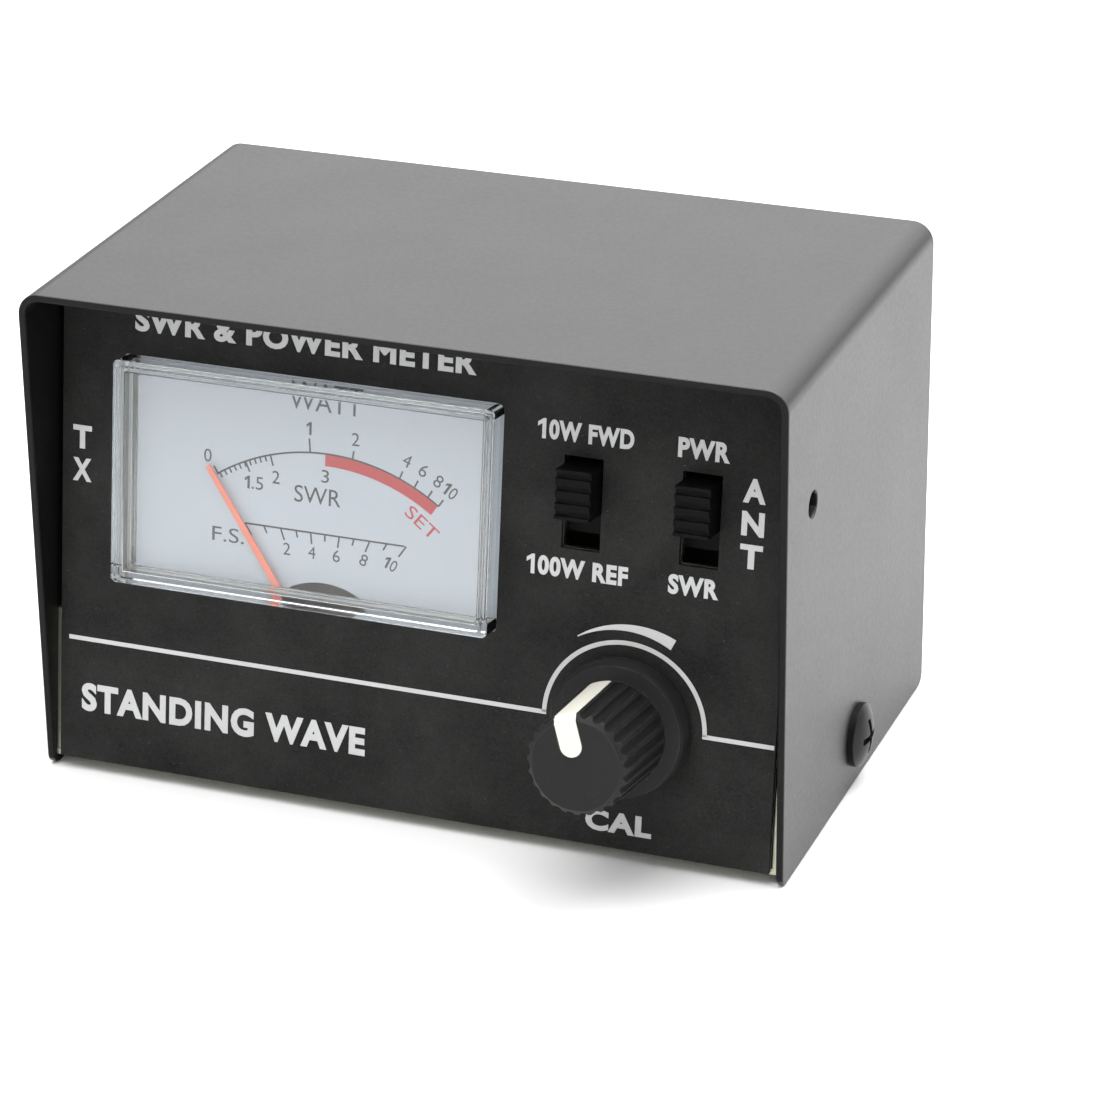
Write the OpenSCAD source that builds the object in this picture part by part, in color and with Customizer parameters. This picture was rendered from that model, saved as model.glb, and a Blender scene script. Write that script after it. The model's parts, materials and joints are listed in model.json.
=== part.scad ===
// Standing-wave and power meter for a radio feed line: a folded chassis with a slanted front,
// a moving-coil meter, two slide switches, a calibration knob and two coaxial sockets.
// The case is described from the cover's lower front edge: X to the right, Y to the rear, Z up.
// Front-panel pieces use the panel's own frame: u to the right, v up the slope, n out of the face.

/* [Case] */
// Outside width of the cover
case_w = 104.9; // [100:0.1:130]
// Outside height of the cover
case_h = 68.6; // [66:0.1:90]
// Depth of the cover from its front edge to its rear edge
case_d = 64.1; // [60:0.1:90]
// Thickness of the cover's sheet
cover_t = 1.0; // [0.6:0.1:1.6]
// Outside radius of the cover's two long bends
bend_r = 3.0; // [2:0.1:6]
// Rounding of the cover's lower corners, seen from the side
cover_corner_r = 1.6; // [0.5:0.1:4]

/* [Cover fixings] */
// Depth of the cover screws behind the front edge
cover_screw_y = 32.0; // [24:0.5:38]
// Height of the cover screws
cover_screw_z = 7.0; // [6.5:0.5:9]
// Diameter of the cover screws' shanks
cover_screw_d = 3.0; // [2.5:0.1:4]
// Diameter of the cover screws' heads
cover_head_d = 8.8; // [7:0.1:10]
// Height of the cover screws' domed heads
cover_head_h = 2.1; // [1.2:0.1:2.6]
// Diameter of the small plain hole high in the right side
side_hole_d = 3.5; // [2.5:0.1:5]
// Depth of that hole behind the front edge
side_hole_y = 10.6; // [10:0.1:20]
// Height of that hole
side_hole_z = 49.5; // [30:0.1:56]

/* [Front panel] */
// Backward lean of the front panel in degrees
panel_tilt = 8.4; // [4:0.1:12]
// Thickness of the printed panel
panel_t = 0.8; // [0.5:0.1:1.2]
// Gap between the panel's edges and the cover's walls
panel_gap = 0.95; // [0.3:0.05:2]
// Height of the panel's lower edge above the rest plane
panel_lift = 1.8; // [1.7:0.1:3]

/* [Chassis] */
// Thickness of the chassis sheet
chassis_t = 0.8; // [0.6:0.1:1.2]
// Height of the chassis floor's underside above the rest plane
floor_lift = 1.4; // [1:0.1:1.6]
// Distance from the cover's rear edge to the rear wall's outer face
rear_inset = 0.5; // [0.2:0.1:2]
// Depth of the stiffening lips along the top of the walls
lip_d = 5.0; // [3:0.5:8]
// Height of the chassis's side flanges, which take the cover screws
side_h = 20.6; // [12:0.1:24]
// Setback of the side flanges' front edges behind the panel
side_setback = 0.2; // [0.1:0.1:2]

/* [Meter] */
// Width of the meter's clear window
window_w = 53.6; // [44:0.1:55]
// Height of the meter's clear window
window_h = 30.4; // [25:0.1:32]
// Distance from the panel's left edge to the window
window_left = 8.7; // [8:0.1:9.5]
// Distance from the panel's lower edge to the window
window_v = 26.7; // [25.5:0.1:27.5]
// How far the window stands out of the panel
window_proud = 3.6; // [2:0.1:5]
// Thickness of the window's side walls
window_wall = 1.5; // [1:0.1:1.8]
// Thickness of the window's front
window_front = 1.2; // [0.8:0.1:1.6]
// Pivot's distance to the right of the window's centre line
pivot_right = 1.6; // [-3:0.1:3]
// Pivot's distance below the window
pivot_below = 8.05; // [7.5:0.05:9]
// Length of the needle from its pivot
needle_len = 29.6; // [24:0.1:30.5]
// Needle's angle to the left of upright at zero, in degrees
needle_zero = 34.3; // [30:0.1:36]
// Depth of the meter's case behind the chassis front wall
meter_d = 26.9; // [26.7:0.1:32]

/* [Switches] */
// Distance from the panel's right edge to the range switch
range_sw_right = 27.5; // [26.5:0.1:28]
// Distance from the panel's right edge to the function switch
function_sw_right = 11.6; // [9:0.1:12]
// Height of both switches' centres up the panel
switch_v = 45.6; // [45:0.1:47]
// Width of a switch slot
slot_w = 5.2; // [4:0.1:6]
// Length of a switch slot
slot_l = 12.3; // [12:0.1:13.5]
// Travel of a switch actuator
switch_travel = 4.0; // [3:0.1:4.2]
// Length of the actuator's grip along the slot
grip_l = 6.6; // [5:0.1:6.8]
// How far the grip stands out of the panel
grip_proud = 4.0; // [2:0.1:6]
// Distance between a switch's two fixing screws
switch_pitch = 28.6; // [27.5:0.1:29]

/* [Calibration control] */
// Distance from the panel's right edge to the control
pot_right = 20.5; // [18:0.1:21]
// Height of the control up the panel
pot_v = 17.1; // [15:0.1:17.5]
// Diameter of the control's shaft
shaft_d = 6.0; // [4:0.1:7.5]
// Diameter of the control's body
pot_d = 16.4; // [15.5:0.1:17.5]
// Height of the knob's face above the panel
knob_h = 18.0; // [14:0.1:24]
// Diameter of the knob's fluted grip next to the skirt
knob_grip_d = 14.0; // [12:0.1:16]
// Diameter of the knob's skirt
knob_skirt_d = 18.6; // [17.5:0.1:22]
// Number of flutes round the knob
flute_count = 24; // [12:1:36]
// Knob pointer's angle to the left of upright at rest, in degrees
pointer_angle = 17; // [-140:1:140]

/* [Sockets] */
// Distance of each coaxial socket from the centre line
socket_x = 29.0; // [27:0.5:34]
// Height of the sockets
socket_z = 36.0; // [32:0.5:40]
// Outside diameter of a socket's threaded barrel
barrel_d = 15.88; // [15:0.01:17]
// Length of a socket's barrel in front of its flange
barrel_l = 14.4; // [11:0.1:18]
// Side of a socket's square flange
flange_w = 25.4; // [25:0.1:28]
// Thickness of a socket's flange
flange_t = 2.0; // [1.5:0.1:3]
// Distance between flange screws
flange_pitch = 18.24; // [18:0.01:20.5]
// Diameter of the hole in a socket's centre contact
contact_hole_d = 4.0; // [3.5:0.1:4.4]

/* [Circuit board] */
// Width of the circuit board
board_w = 70; // [68:1:80]
// Height of the circuit board
board_h = 34; // [30:1:38]
// Thickness of the circuit board
board_t = 1.6; // [1:0.1:2]
// Length of the spacers that hold the board off the rear wall
spacer_l = 8.2; // [6:0.1:10]

/* [Hidden] */

$fn = 64;

// Clearances and helpers
slide_gap = 0.15;
hole_gap = 0.2;
thread_gap = 0.05;
run_gap = 0.05;
eps = 0.01;
far = 200;

// Case
inner_w = case_w - 2 * cover_t;
panel_w = inner_w - 2 * panel_gap;
panel_top_gap = 0.9;
rear_top = case_h - cover_t - panel_top_gap;
panel_h = (rear_top - panel_lift) / cos(panel_tilt);
wall_back = -panel_t - chassis_t;
cut_h = panel_t + chassis_t + 2;
rear_y = case_d - rear_inset;
rear_inner_y = rear_y - chassis_t;
floor_top = floor_lift + chassis_t;
floor_front = panel_t / cos(panel_tilt) + (floor_top - panel_lift) * tan(panel_tilt);

// The frame's origin is the middle of the whole meter's footprint
knob_edge = 0.8;
knob_top_r = knob_grip_d / 2 - 0.3;
front_reach = max(
    knob_h * cos(panel_tilt) + (knob_top_r - knob_edge) * sin(panel_tilt),
    (knob_h - knob_edge) * cos(panel_tilt) + knob_top_r * sin(panel_tilt)
) - pot_v * sin(panel_tilt);
rear_reach = rear_y + flange_t + barrel_l;
origin_y = (rear_reach - front_reach) / 2;

cover_screw_l = cover_t + chassis_t + 3.2;

// Meter
window_u = -panel_w / 2 + window_left + window_w / 2;
window_mid_v = window_v + window_h / 2;
window_inner_w = window_w - 2 * window_wall;
window_inner_h = window_h - 2 * window_wall;
flange_grow = 1.5;
window_flange_t = 0.8;
pivot_u = window_u + pivot_right;
pivot_v = window_v - pivot_below;
dial_n = wall_back - 1.3;
dial_t = 0.5;
dial_overlap = 1.0;
dial_w = window_inner_w + 2 * dial_overlap;
dial_top = window_v + window_h - window_wall + dial_overlap;
dial_drop = 4.7;
dial_bottom = window_v - dial_drop;
dial_arch_r = 10.4;
dial_screw_u = dial_w / 2 - 5.3;
dial_screw_r = 0.8;
dial_screw_l = 3.5;
dial_head_r = 1.6;
dial_head_h = 0.6;
frame_screw_r = 1.0;
frame_screw_l = 2.0;
frame_head_r = 1.9;
frame_head_h = 1.2;
post_r = 2.4;
dial_screw_in = 2.2;
dial_screw_v = dial_bottom + dial_screw_in;
yoke_r = 9.4;
yoke_l = 11;
yoke_clear = 0.5;
housing_wall = 2.3;
housing_floor = 1.5;
housing_w = dial_w + 2 * slide_gap + 2 * housing_wall;
housing_top = dial_top + slide_gap + housing_wall;
housing_bottom = pivot_v - yoke_r - yoke_clear - housing_wall;
housing_back = wall_back - meter_d;
ledge = 1.5;

// Moving-coil movement, by distance along the pivot axis
yoke_bore_r = 6.6;
core_r = 4.6;
yoke_front = wall_back - 7.4;
yoke_back = yoke_front - yoke_l;
spacer_w = 3.2;
spacer_in = 2;
core_front = yoke_front + 0.4;
core_back = yoke_back - 0.4;
former_half = 5.0;
former_t = 0.3;
coil_t = 0.65;
coil_w = 3.0;
former_front = core_front + 0.5;
former_back = core_back - 0.5;
coil_front = former_front + former_t + coil_t;
coil_back = former_back - former_t - coil_t;
hub_n = coil_front + 1.05;
hub_t = 0.6;
hub_r = 1.6;
spring_in = 1.2;
spring_out = 3.4;
spring_t = 0.12;
spring_w = 0.25;
arm_t = 0.3;
pin_r = 0.35;
jewel_r = 1.0;
jewel_hole = 0.6;
bridge_n = hub_n + 1.35;
bridge_t = 0.8;
bridge_w = 3.2;
bridge_leg = 2.0;
jewel_l = 2.1;
rear_jewel_l = 3.4;
front_pin_end = bridge_n;
rear_pin_end = coil_back - 1.05;
frame_front = coil_back - 1.45;
frame_t = 1.2;
blade_n = dial_n + 0.65;
blade_t = 0.25;
blade_w = 1.0;
tail_l = 5.5;
riser_r = 7.3;
frame_ear = yoke_r + 3.2;
window_r = 0.8;
window_step = 0.5;
window_bead = 0.7;
stud_u = 14;
stud_head_h = 1.4;
stud_out = 6;
stud_v = window_v + 18;
bracket_v = pivot_v + 1.6;
bracket_w = 9;
bracket_foot = 6;
bracket_screw_in = 2.5;
bracket_nut = 4;
bracket_nut_t = 1.6;
bracket_screw_r = 1.0;
bracket_head_r = 1.9;
function bracket_screw_places() = [
    for (side = [-1, 1]) [window_u + side * (housing_w / 2 + bracket_foot - bracket_screw_in), bracket_v]
];

// Switches
switch_flange_t = 0.8;
switch_w = 12.0;
switch_flange_l = switch_pitch + 6.4;
switch_can_l = 18.6;
switch_can_d = 7.0;
switch_wall = 0.6;
slider_w = switch_w - 2 * switch_wall - 2 * slide_gap;
slider_l = switch_can_l - 2 * switch_wall - switch_travel - 2 * slide_gap;
slider_t = 2.6;
grip_w = slot_w - 2 * hole_gap;
base_t = 1.4;
base_n = wall_back - switch_flange_t - switch_can_d;
slider_n = wall_back - switch_flange_t - slide_gap;
terminal_pitch = 5.0;
terminal_x = 3.0;
rivet_r = 0.75;
rivet_head_r = 1.3;
rivet_head_t = 0.5;
tag_l = 5;
tag_w = 2;
tag_t = 0.4;
tag_hole_r = 0.5;
guide_w = 2.4;
guide_d = 1.0;
bridge_contact_w = 1.8;
bridge_contact_t = 0.3;
rib_w = 0.7;
rib_d = 0.5;
range_sw_u = panel_w / 2 - range_sw_right;
function_sw_u = panel_w / 2 - function_sw_right;
function switch_screw_places() = [
    for (u = [range_sw_u, function_sw_u], side = [-1, 1]) [u, switch_v + side * switch_pitch / 2]
];

// Calibration control
pot_u = panel_w / 2 - pot_right;
shaft_r = shaft_d / 2;
bushing_r = shaft_r + 0.9;
bushing_l = 6.4;
nut_across = 2 * bushing_r + 2.4;
nut_t = 2.0;
washer_t = 0.5;
nut_corner_r = nut_across / 2 / cos(30);
pot_plate_t = 1.8;
element_t = 1.6;
can_d = 6.5;
element_front = wall_back - pot_plate_t;
element_back = element_front - element_t;
shaft_end = knob_h - 4;
flat_from = wall_back + bushing_l + 0.6;
knob_start = 0.8;
skirt_top = 3.8;
knob_roof = 3.4;
pointer_w = 3.0;
pointer_in = 0.5;
pointer_start = 1.1;
flute_r = 0.7;
flute_draft = -1.3;
pot_tab = 4.5;
pot_tab_w = 13;
pot_tag_pitch = 4.5;
pot_tag_v = -pot_d / 2 - pot_tab + 1.4;
pot_rivet_r = 0.7;
pot_can_wall = 0.5;
wiper_hub_r = 5;
wiper_hub_t = 1.4;
wiper_lift = 2;
shaft_back = 1.2;
flat_depth = 1.5;

// Sockets, by distance s behind the rear wall's outer face
mouth_r = 6.1;
mouth_d = 9.0;
flange_corner_r = 1.5;
notch_w = 1.4;
notch_d = 1.0;
slit_w = 0.35;
slit_l = 5;
spigot_r = 5.6;
spigot_l = 3.0;
insulator_r = 4.6;
seat_s = flange_t + barrel_l - mouth_d;
insulator_lip = 1.0;
contact_r = contact_hole_d / 2 + 0.9;
stem_r = 1.75;
contact_back_s = seat_s - 3.0;
contact_end_s = flange_t + barrel_l - 1.5;
m3_r = 1.5;
m3_head_r = 2.8;
m3_head_h = 1.8;
m3_nut = 5.5;
m3_nut_t = 2.2;
board_back_s = -chassis_t - spacer_l;
board_front_s = board_back_s - board_t;
stem_end_s = board_front_s - 1.6;
long_screw_s = board_front_s - m3_nut_t - 0.8;
short_screw_s = -chassis_t - m3_nut_t - 0.8;
strip_t = 0.1;
pickup_z = 5.0;
pickup_l = 30;
component_row = 13.0;
trimmer_x = 28;
lead_r = 0.3;
lead_out = 1.5;
stand_off = 0.6;
disc_r = 2.6;
disc_t = 1.6;
disc_lift = 5.4;
trimmer_w = 6;
trimmer_h = 4;
strip_w = 4;
pickup_w = 1.6;
component_pitch = 14;
disc_x = 4.5;

// Places a child in the shared frame from the case's frame
module in_case() {
    translate([0, -origin_y, 0]) children();
}

// Places a child in the shared frame from the front panel's frame
module on_panel(u = 0, v = 0, n = 0) {
    in_case() translate([0, 0, panel_lift]) rotate([90 - panel_tilt, 0, 0]) translate([u, v, n]) children();
}

// Places a child behind the rear wall, its axis pointing to the rear
module on_rear(x, z, s = 0) {
    in_case() translate([x, rear_y + s, z]) rotate([-90, 0, 0]) children();
}

// A box centred on two axes that grows along the third from zero
module slab(w, h, t) {
    translate([-w / 2, -h / 2, 0]) cube([w, h, t]);
}

// A box between two opposite corners
module box(low, high) {
    translate(low) cube(high - low);
}

// A flat rectangle with round corners, centred
module round_rect(w, h, r) {
    square([w - 2 * r, h], center = true);
    square([w, h - 2 * r], center = true);
    for (x = [-1, 1], y = [-1, 1]) translate([x * (w / 2 - r), y * (h / 2 - r)]) circle(r = r);
}

// A hexagon nut with its hole, from zero upwards
module hex_nut(across, t, hole_r) {
    difference() {
        cylinder(r = across / 2 / cos(30), h = t, $fn = 6);
        translate([0, 0, -eps]) cylinder(r = hole_r, h = t + 2 * eps);
    }
}

// A tube from zero upwards
module tube(r, hole_r, h) {
    difference() {
        cylinder(r = r, h = h);
        translate([0, 0, -eps]) cylinder(r = hole_r, h = h + 2 * eps);
    }
}

// The cross recess of a screw head, cut downwards from zero
module cross_recess(l, w, d) {
    for (a = [0, 90]) rotate(a) translate([-l / 2, -w / 2, -d]) cube([l, w, d + eps]);
}

// The straight slot across a flat head of radius r and height h, half the head deep
module screw_slot(r, h) {
    translate([-far / 2, -r / 8, h / 2]) cube([far, r / 4, h]);
}

// A low domed head from zero upwards, with a cross recess
module domed_head(r, h, edge_h) {
    dome_h = h - edge_h;
    ball_r = (r * r + dome_h * dome_h) / (2 * dome_h);
    difference() {
        union() {
            cylinder(r = r, h = edge_h);
            intersection() {
                translate([0, 0, h - ball_r]) sphere(r = ball_r);
                translate([0, 0, edge_h - eps]) cylinder(r = r, h = h);
            }
        }
        translate([0, 0, h]) cross_recess(1.1 * r, 0.2 * r, 0.6 * h);
    }
}

// ---- Case ----

// Cross-section of the cover, one sheet thickness smaller when inset
module cover_section(inset) {
    w = case_w - 2 * inset;
    h = case_h - inset;
    r = max(bend_r - inset, 0.2);
    translate([-w / 2, -inset]) square([w, h - r + inset]);
    translate([-w / 2 + r, 0]) square([w - 2 * r, h]);
    for (x = [-1, 1]) translate([x * (w / 2 - r), h - r]) circle(r = r);
}

module cover() {
    color("dimgray") in_case() difference() {
        translate([0, case_d, 0]) rotate([90, 0, 0]) linear_extrude(case_d) difference() {
            cover_section(0);
            cover_section(cover_t);
        }
        for (y = [0, case_d]) translate([0, y, 0]) corner_cut(y == 0 ? 1 : -1);
        translate([0, cover_screw_y, cover_screw_z]) rotate([0, 90, 0])
            cylinder(d = cover_screw_d + 2 * hole_gap, h = 2 * far, center = true);
        translate([0, side_hole_y, side_hole_z]) rotate([0, 90, 0]) cylinder(d = side_hole_d, h = far);
    }
}

// The square corner at the origin outside a quarter round, along the whole width
module corner_cut(side) {
    r = cover_corner_r;
    rotate([90, 0, 90]) linear_extrude(2 * far, center = true) difference() {
        translate([side > 0 ? -eps : -r, -eps]) square(r + eps);
        translate([side * r, r]) circle(r = r);
    }
}

// The chassis front wall with its openings and its top lip, in the panel's frame
module chassis_front() {
    wall_v = (floor_top - panel_lift) / cos(panel_tilt);
    difference() {
        union() {
            box([-panel_w / 2, wall_v, wall_back], [panel_w / 2, panel_h, -panel_t]);
            box([-panel_w / 2, panel_h - chassis_t, wall_back - lip_d],
                [panel_w / 2, panel_h, wall_back + eps]);
        }
        front_openings();
        for (p = switch_screw_places()) translate([p[0], p[1], wall_back - eps])
            cylinder(r1 = m3_r, r2 = m3_head_r, h = chassis_t + 2 * eps);
        for (p = bracket_screw_places()) translate([p[0], p[1], wall_back - eps])
            cylinder(r1 = bracket_screw_r, r2 = bracket_head_r, h = chassis_t + 2 * eps);
    }
}

// The openings that the panel and the chassis front wall share
module front_openings() {
    translate([window_u, window_mid_v, wall_back - 1])
        linear_extrude(cut_h)
            round_rect(window_w + 2 * slide_gap, window_h + 2 * slide_gap, window_r + slide_gap);
    for (u = [range_sw_u, function_sw_u]) translate([u, switch_v, wall_back - 1]) slab(slot_w, slot_l, cut_h);
    translate([pot_u, pot_v, wall_back - 1]) cylinder(r = bushing_r + hole_gap, h = cut_h);
}

// The two side flanges, their front edges in line with the slanted wall, tapped for the cover screws
module chassis_sides() {
    difference() {
        for (side = [-1, 1])
            translate([side * (inner_w - chassis_t) / 2, (floor_front + rear_inner_y) / 2, floor_lift])
                slab(chassis_t, rear_inner_y - floor_front, side_h);
        translate([0, cover_screw_y, cover_screw_z]) rotate([0, 90, 0])
            cylinder(r = cover_screw_d / 2 + thread_gap, h = 2 * far, center = true);
    }
}

// The chassis floor, rear wall and rear lip, with the holes for the sockets
module chassis_rear() {
    difference() {
        union() {
            box([-inner_w / 2, floor_front, floor_lift], [inner_w / 2, rear_inner_y, floor_top]);
            box([-panel_w / 2, rear_inner_y, floor_lift], [panel_w / 2, rear_y, rear_top]);
            box([-panel_w / 2, rear_y - lip_d, rear_top - chassis_t], [panel_w / 2, rear_y, rear_top]);
        }
        for (side = [-1, 1]) translate([side * socket_x, rear_y, socket_z]) rotate([90, 0, 0]) {
            cylinder(r = spigot_r + hole_gap, h = 10, center = true);
            for (x = [-1, 1], y = [-1, 1]) translate([x, y, 0] * flange_pitch / 2)
                cylinder(r = m3_r + hole_gap, h = 10, center = true);
        }
    }
}

module chassis() {
    color("gainsboro") {
        on_panel() chassis_front();
        in_case() chassis_rear();
        difference() {
            in_case() chassis_sides();
            on_panel() box([-far, -far, -panel_t - side_setback], [far, far, far]);
        }
    }
}

module front_panel() {
    color([0.18, 0.18, 0.18]) on_panel() difference() {
        box([-panel_w / 2, 0, -panel_t], [panel_w / 2, panel_h, 0]);
        front_openings();
    }
}

module cover_screws() {
    r = cover_screw_d / 2;
    color([0.1, 0.1, 0.1]) for (side = [-1, 1]) in_case()
        translate([side * case_w / 2, cover_screw_y, cover_screw_z]) rotate([0, side * 90, 0]) {
            domed_head(cover_head_d / 2, cover_head_h, 0.4 * cover_head_h);
            translate([0, 0, -cover_screw_l]) cylinder(r = r, h = cover_screw_l + eps);
        }
}

// ---- Meter ----

module meter_housing() {
    half_w = housing_w / 2;
    pocket_w = dial_w / 2 + slide_gap;
    low_v = housing_bottom + housing_wall;
    high_v = dial_top + slide_gap;
    recess_grow = 2 * (flange_grow + slide_gap);
    color("ivory") on_panel(window_u, 0, 0) difference() {
        union() {
            difference() {
                box([-half_w, housing_bottom, housing_back], [half_w, housing_top, wall_back]);
                box([-pocket_w, low_v, dial_n - dial_t], [pocket_w, high_v, 0]);
                box([ledge - pocket_w, low_v, housing_back + housing_floor],
                    [pocket_w - ledge, high_v - ledge, 0]);
                translate([0, window_mid_v, wall_back - window_flange_t - 0.1])
                    slab(window_w + recess_grow, window_h + recess_grow, far);
            }
            for (x = [-1, 1]) {
                translate([x * dial_screw_u, dial_screw_v, housing_back + eps])
                    cylinder(r = post_r, h = dial_n - dial_t - housing_back - eps);
                translate([pivot_right + x * frame_ear, pivot_v, housing_back + eps])
                    cylinder(r = post_r, h = frame_front - frame_t - housing_back - eps);
            }
        }
        for (x = [-1, 1]) {
            translate([x * dial_screw_u, dial_screw_v, dial_n - dial_t - dial_screw_l])
                cylinder(r = dial_screw_r + thread_gap, h = far);
            translate([pivot_right + x * frame_ear, pivot_v, frame_front - frame_t - frame_screw_l])
                cylinder(r = frame_screw_r + thread_gap, h = far);
            translate([x * stud_u, stud_v, housing_back - eps])
                cylinder(r = m3_r + thread_gap, h = housing_floor + 2 * eps);
        }
    }
}

module meter_window() {
    depth = window_proud - wall_back;
    color([0.85, 0.92, 0.95, 0.35]) on_panel() translate([window_u, window_mid_v, wall_back]) difference() {
        union() {
            linear_extrude(depth - window_step) round_rect(window_w, window_h, window_r);
            translate([0, 0, depth - window_step - eps]) linear_extrude(window_step + eps)
                round_rect(window_w - 2 * window_bead, window_h - 2 * window_bead, window_r);
            translate([0, 0, -window_flange_t]) difference() {
                slab(window_w + 2 * flange_grow, window_h + 2 * flange_grow, window_flange_t);
                translate([-far / 2, -window_h / 2 - far + window_wall, -eps]) cube([far, far, far]);
            }
        }
        translate([0, 0, -far]) slab(window_inner_w, window_inner_h, far + depth - window_front);
    }
}

module scale_plate() {
    h = dial_top - dial_bottom;
    color("lightsteelblue") on_panel() difference() {
        translate([window_u, dial_bottom + h / 2, dial_n - dial_t]) slab(dial_w, h, dial_t);
        translate([pivot_u, pivot_v, dial_n - far / 2]) cylinder(r = dial_arch_r, h = far);
        for (x = [-1, 1]) translate([window_u + x * dial_screw_u, dial_screw_v, dial_n - 5])
            cylinder(r = dial_screw_r + hole_gap, h = 10);
    }
}

module scale_plate_screws() {
    color("silver") on_panel() for (x = [-1, 1])
        translate([window_u + x * dial_screw_u, dial_screw_v, dial_n]) {
            difference() {
                cylinder(r = dial_head_r, h = dial_head_h);
                screw_slot(dial_head_r, dial_head_h);
            }
            translate([0, 0, -dial_t - dial_screw_l])
                cylinder(r = dial_screw_r, h = dial_t + dial_screw_l + eps);
        }
}

module core_magnet() {
    color("dimgray") on_panel(pivot_u, pivot_v, core_back) tube(core_r, pin_r + 0.6, core_front - core_back);
}

// Two blocks that hold the core in the middle of the yoke, above and below the coil's sweep
module core_spacers() {
    color("goldenrod") on_panel(pivot_u, pivot_v, yoke_back + spacer_in) for (side = [-1, 1]) intersection() {
        translate([-spacer_w / 2, side > 0 ? 0 : -far, 0]) cube([spacer_w, far, yoke_l - 2 * spacer_in]);
        tube(yoke_bore_r, core_r, far);
    }
}

module yoke_ring() {
    color("gray") on_panel(pivot_u, pivot_v, yoke_back) tube(yoke_r, yoke_bore_r, yoke_front - yoke_back);
}

// The cup that carries the yoke, with two ears and the rear jewel screw's hole
module movement_frame() {
    color("silver") on_panel(pivot_u, pivot_v, frame_front - frame_t) difference() {
        union() {
            cylinder(r = yoke_r, h = frame_t);
            slab(2 * frame_ear, 5, frame_t);
            for (x = [-1, 1]) translate([x * frame_ear, 0, 0]) cylinder(r = 2.5, h = frame_t);
            tube(yoke_r, yoke_r - 1.8, yoke_back - frame_front + frame_t);
        }
        translate([0, 0, -eps]) cylinder(r = jewel_r + thread_gap, h = frame_t + 2 * eps);
        for (x = [-1, 1]) translate([x * frame_ear, 0, -eps]) cylinder(r = frame_screw_r + hole_gap, h = far);
    }
}

module movement_screws() {
    color("silver") for (x = [-1, 1]) on_panel(pivot_u + x * frame_ear, pivot_v, frame_front) {
        difference() {
            cylinder(r = frame_head_r, h = frame_head_h);
            screw_slot(frame_head_r, frame_head_h);
        }
        translate([0, 0, -frame_t - frame_screw_l])
            cylinder(r = frame_screw_r, h = frame_t + frame_screw_l + eps);
    }
}

// The bar across the yoke that holds the front jewel screw
module front_bridge() {
    color("silver") on_panel(pivot_u, pivot_v, 0) difference() {
        union() {
            translate([0, 0, bridge_n]) slab(2 * (yoke_r - 0.3), bridge_w, bridge_t);
            for (x = [-1, 1]) translate([x * (yoke_r - 0.3 - bridge_leg / 2), 0, yoke_front])
                slab(bridge_leg, bridge_w, bridge_n - yoke_front + eps);
        }
        translate([0, 0, bridge_n - eps]) cylinder(r = jewel_r + thread_gap, h = bridge_t + 2 * eps);
    }
}

// A slotted jewel screw from its bearing end at zero, pointing outwards
module jewel_screw(l) {
    difference() {
        cylinder(r = jewel_r, h = l);
        translate([0, 0, -eps]) cylinder(r = pin_r + run_gap, h = jewel_hole);
        translate([-2, -0.15, l - 0.4]) cube([4, 0.3, 1]);
    }
}

module jewel_screws() {
    color("gold") on_panel(pivot_u, pivot_v, 0) {
        translate([0, 0, front_pin_end - jewel_hole + run_gap]) jewel_screw(jewel_l);
        translate([0, 0, rear_pin_end + jewel_hole - run_gap]) mirror([0, 0, 1]) jewel_screw(rear_jewel_l);
    }
}

// Turns a child to the coil's plane, square to the needle at zero
module with_needle() {
    on_panel(pivot_u, pivot_v, 0) rotate([0, 0, needle_zero]) children();
}

// A square loop round the core, from an inner half-width outwards
module coil_loop(half, t, front, back) {
    translate([0, coil_w / 2, 0]) rotate([90, 0, 0]) linear_extrude(coil_w) difference() {
        translate([-half - t, back - t]) square([2 * (half + t), front - back + 2 * t]);
        translate([-half, back]) square([2 * half, front - back]);
    }
}

module coil_former() {
    color("silver") with_needle() coil_loop(former_half, former_t, former_front, former_back);
}

module moving_coil() {
    color("chocolate") with_needle()
        coil_loop(former_half + former_t, coil_t, former_front + former_t, former_back - former_t);
}

module pivot_pins() {
    color("gray") with_needle() {
        translate([0, 0, coil_front]) cylinder(r = pin_r, h = front_pin_end - 2 * run_gap - coil_front);
        translate([0, 0, rear_pin_end + 2 * run_gap])
            cylinder(r = pin_r, h = coil_back - rear_pin_end - 2 * run_gap);
    }
}

module needle() {
    color([0.91, 0.45, 0.35]) with_needle() difference() {
        union() {
            translate([0, 0, hub_n]) cylinder(r = hub_r, h = hub_t);
            translate([-blade_w / 2, -tail_l, hub_n]) cube([blade_w, tail_l + riser_r + arm_t, arm_t]);
            translate([-blade_w / 2, riser_r, hub_n]) cube([blade_w, arm_t, blade_n - hub_n + blade_t]);
            translate([0, 0, blade_n]) linear_extrude(blade_t) polygon([
                [-blade_w / 2, riser_r], [blade_w / 2, riser_r],
                [0.35 * blade_w, needle_len], [-0.35 * blade_w, needle_len]
            ]);
        }
        translate([0, 0, hub_n - eps]) cylinder(r = pin_r, h = hub_t + 2 * eps);
    }
}

module needle_counterweight() {
    color("peru") with_needle() translate([0, -tail_l + 0.8, hub_n + arm_t]) cylinder(r = 0.9, h = 0.6);
}

// A flat spiral of strip, from zero upwards
module hairspring() {
    turns = 4;
    steps = 30 * turns;
    step_angle = 360 * turns / steps;
    function spiral(r, i) =
        (r + (spring_out - spring_in) * i / steps) * [cos(step_angle * i), sin(step_angle * i)];
    linear_extrude(spring_w) polygon(concat(
        [for (i = [0:steps]) spiral(spring_in, i)],
        [for (i = [steps:-1:0]) spiral(spring_in + spring_t, i)]
    ));
}

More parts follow.
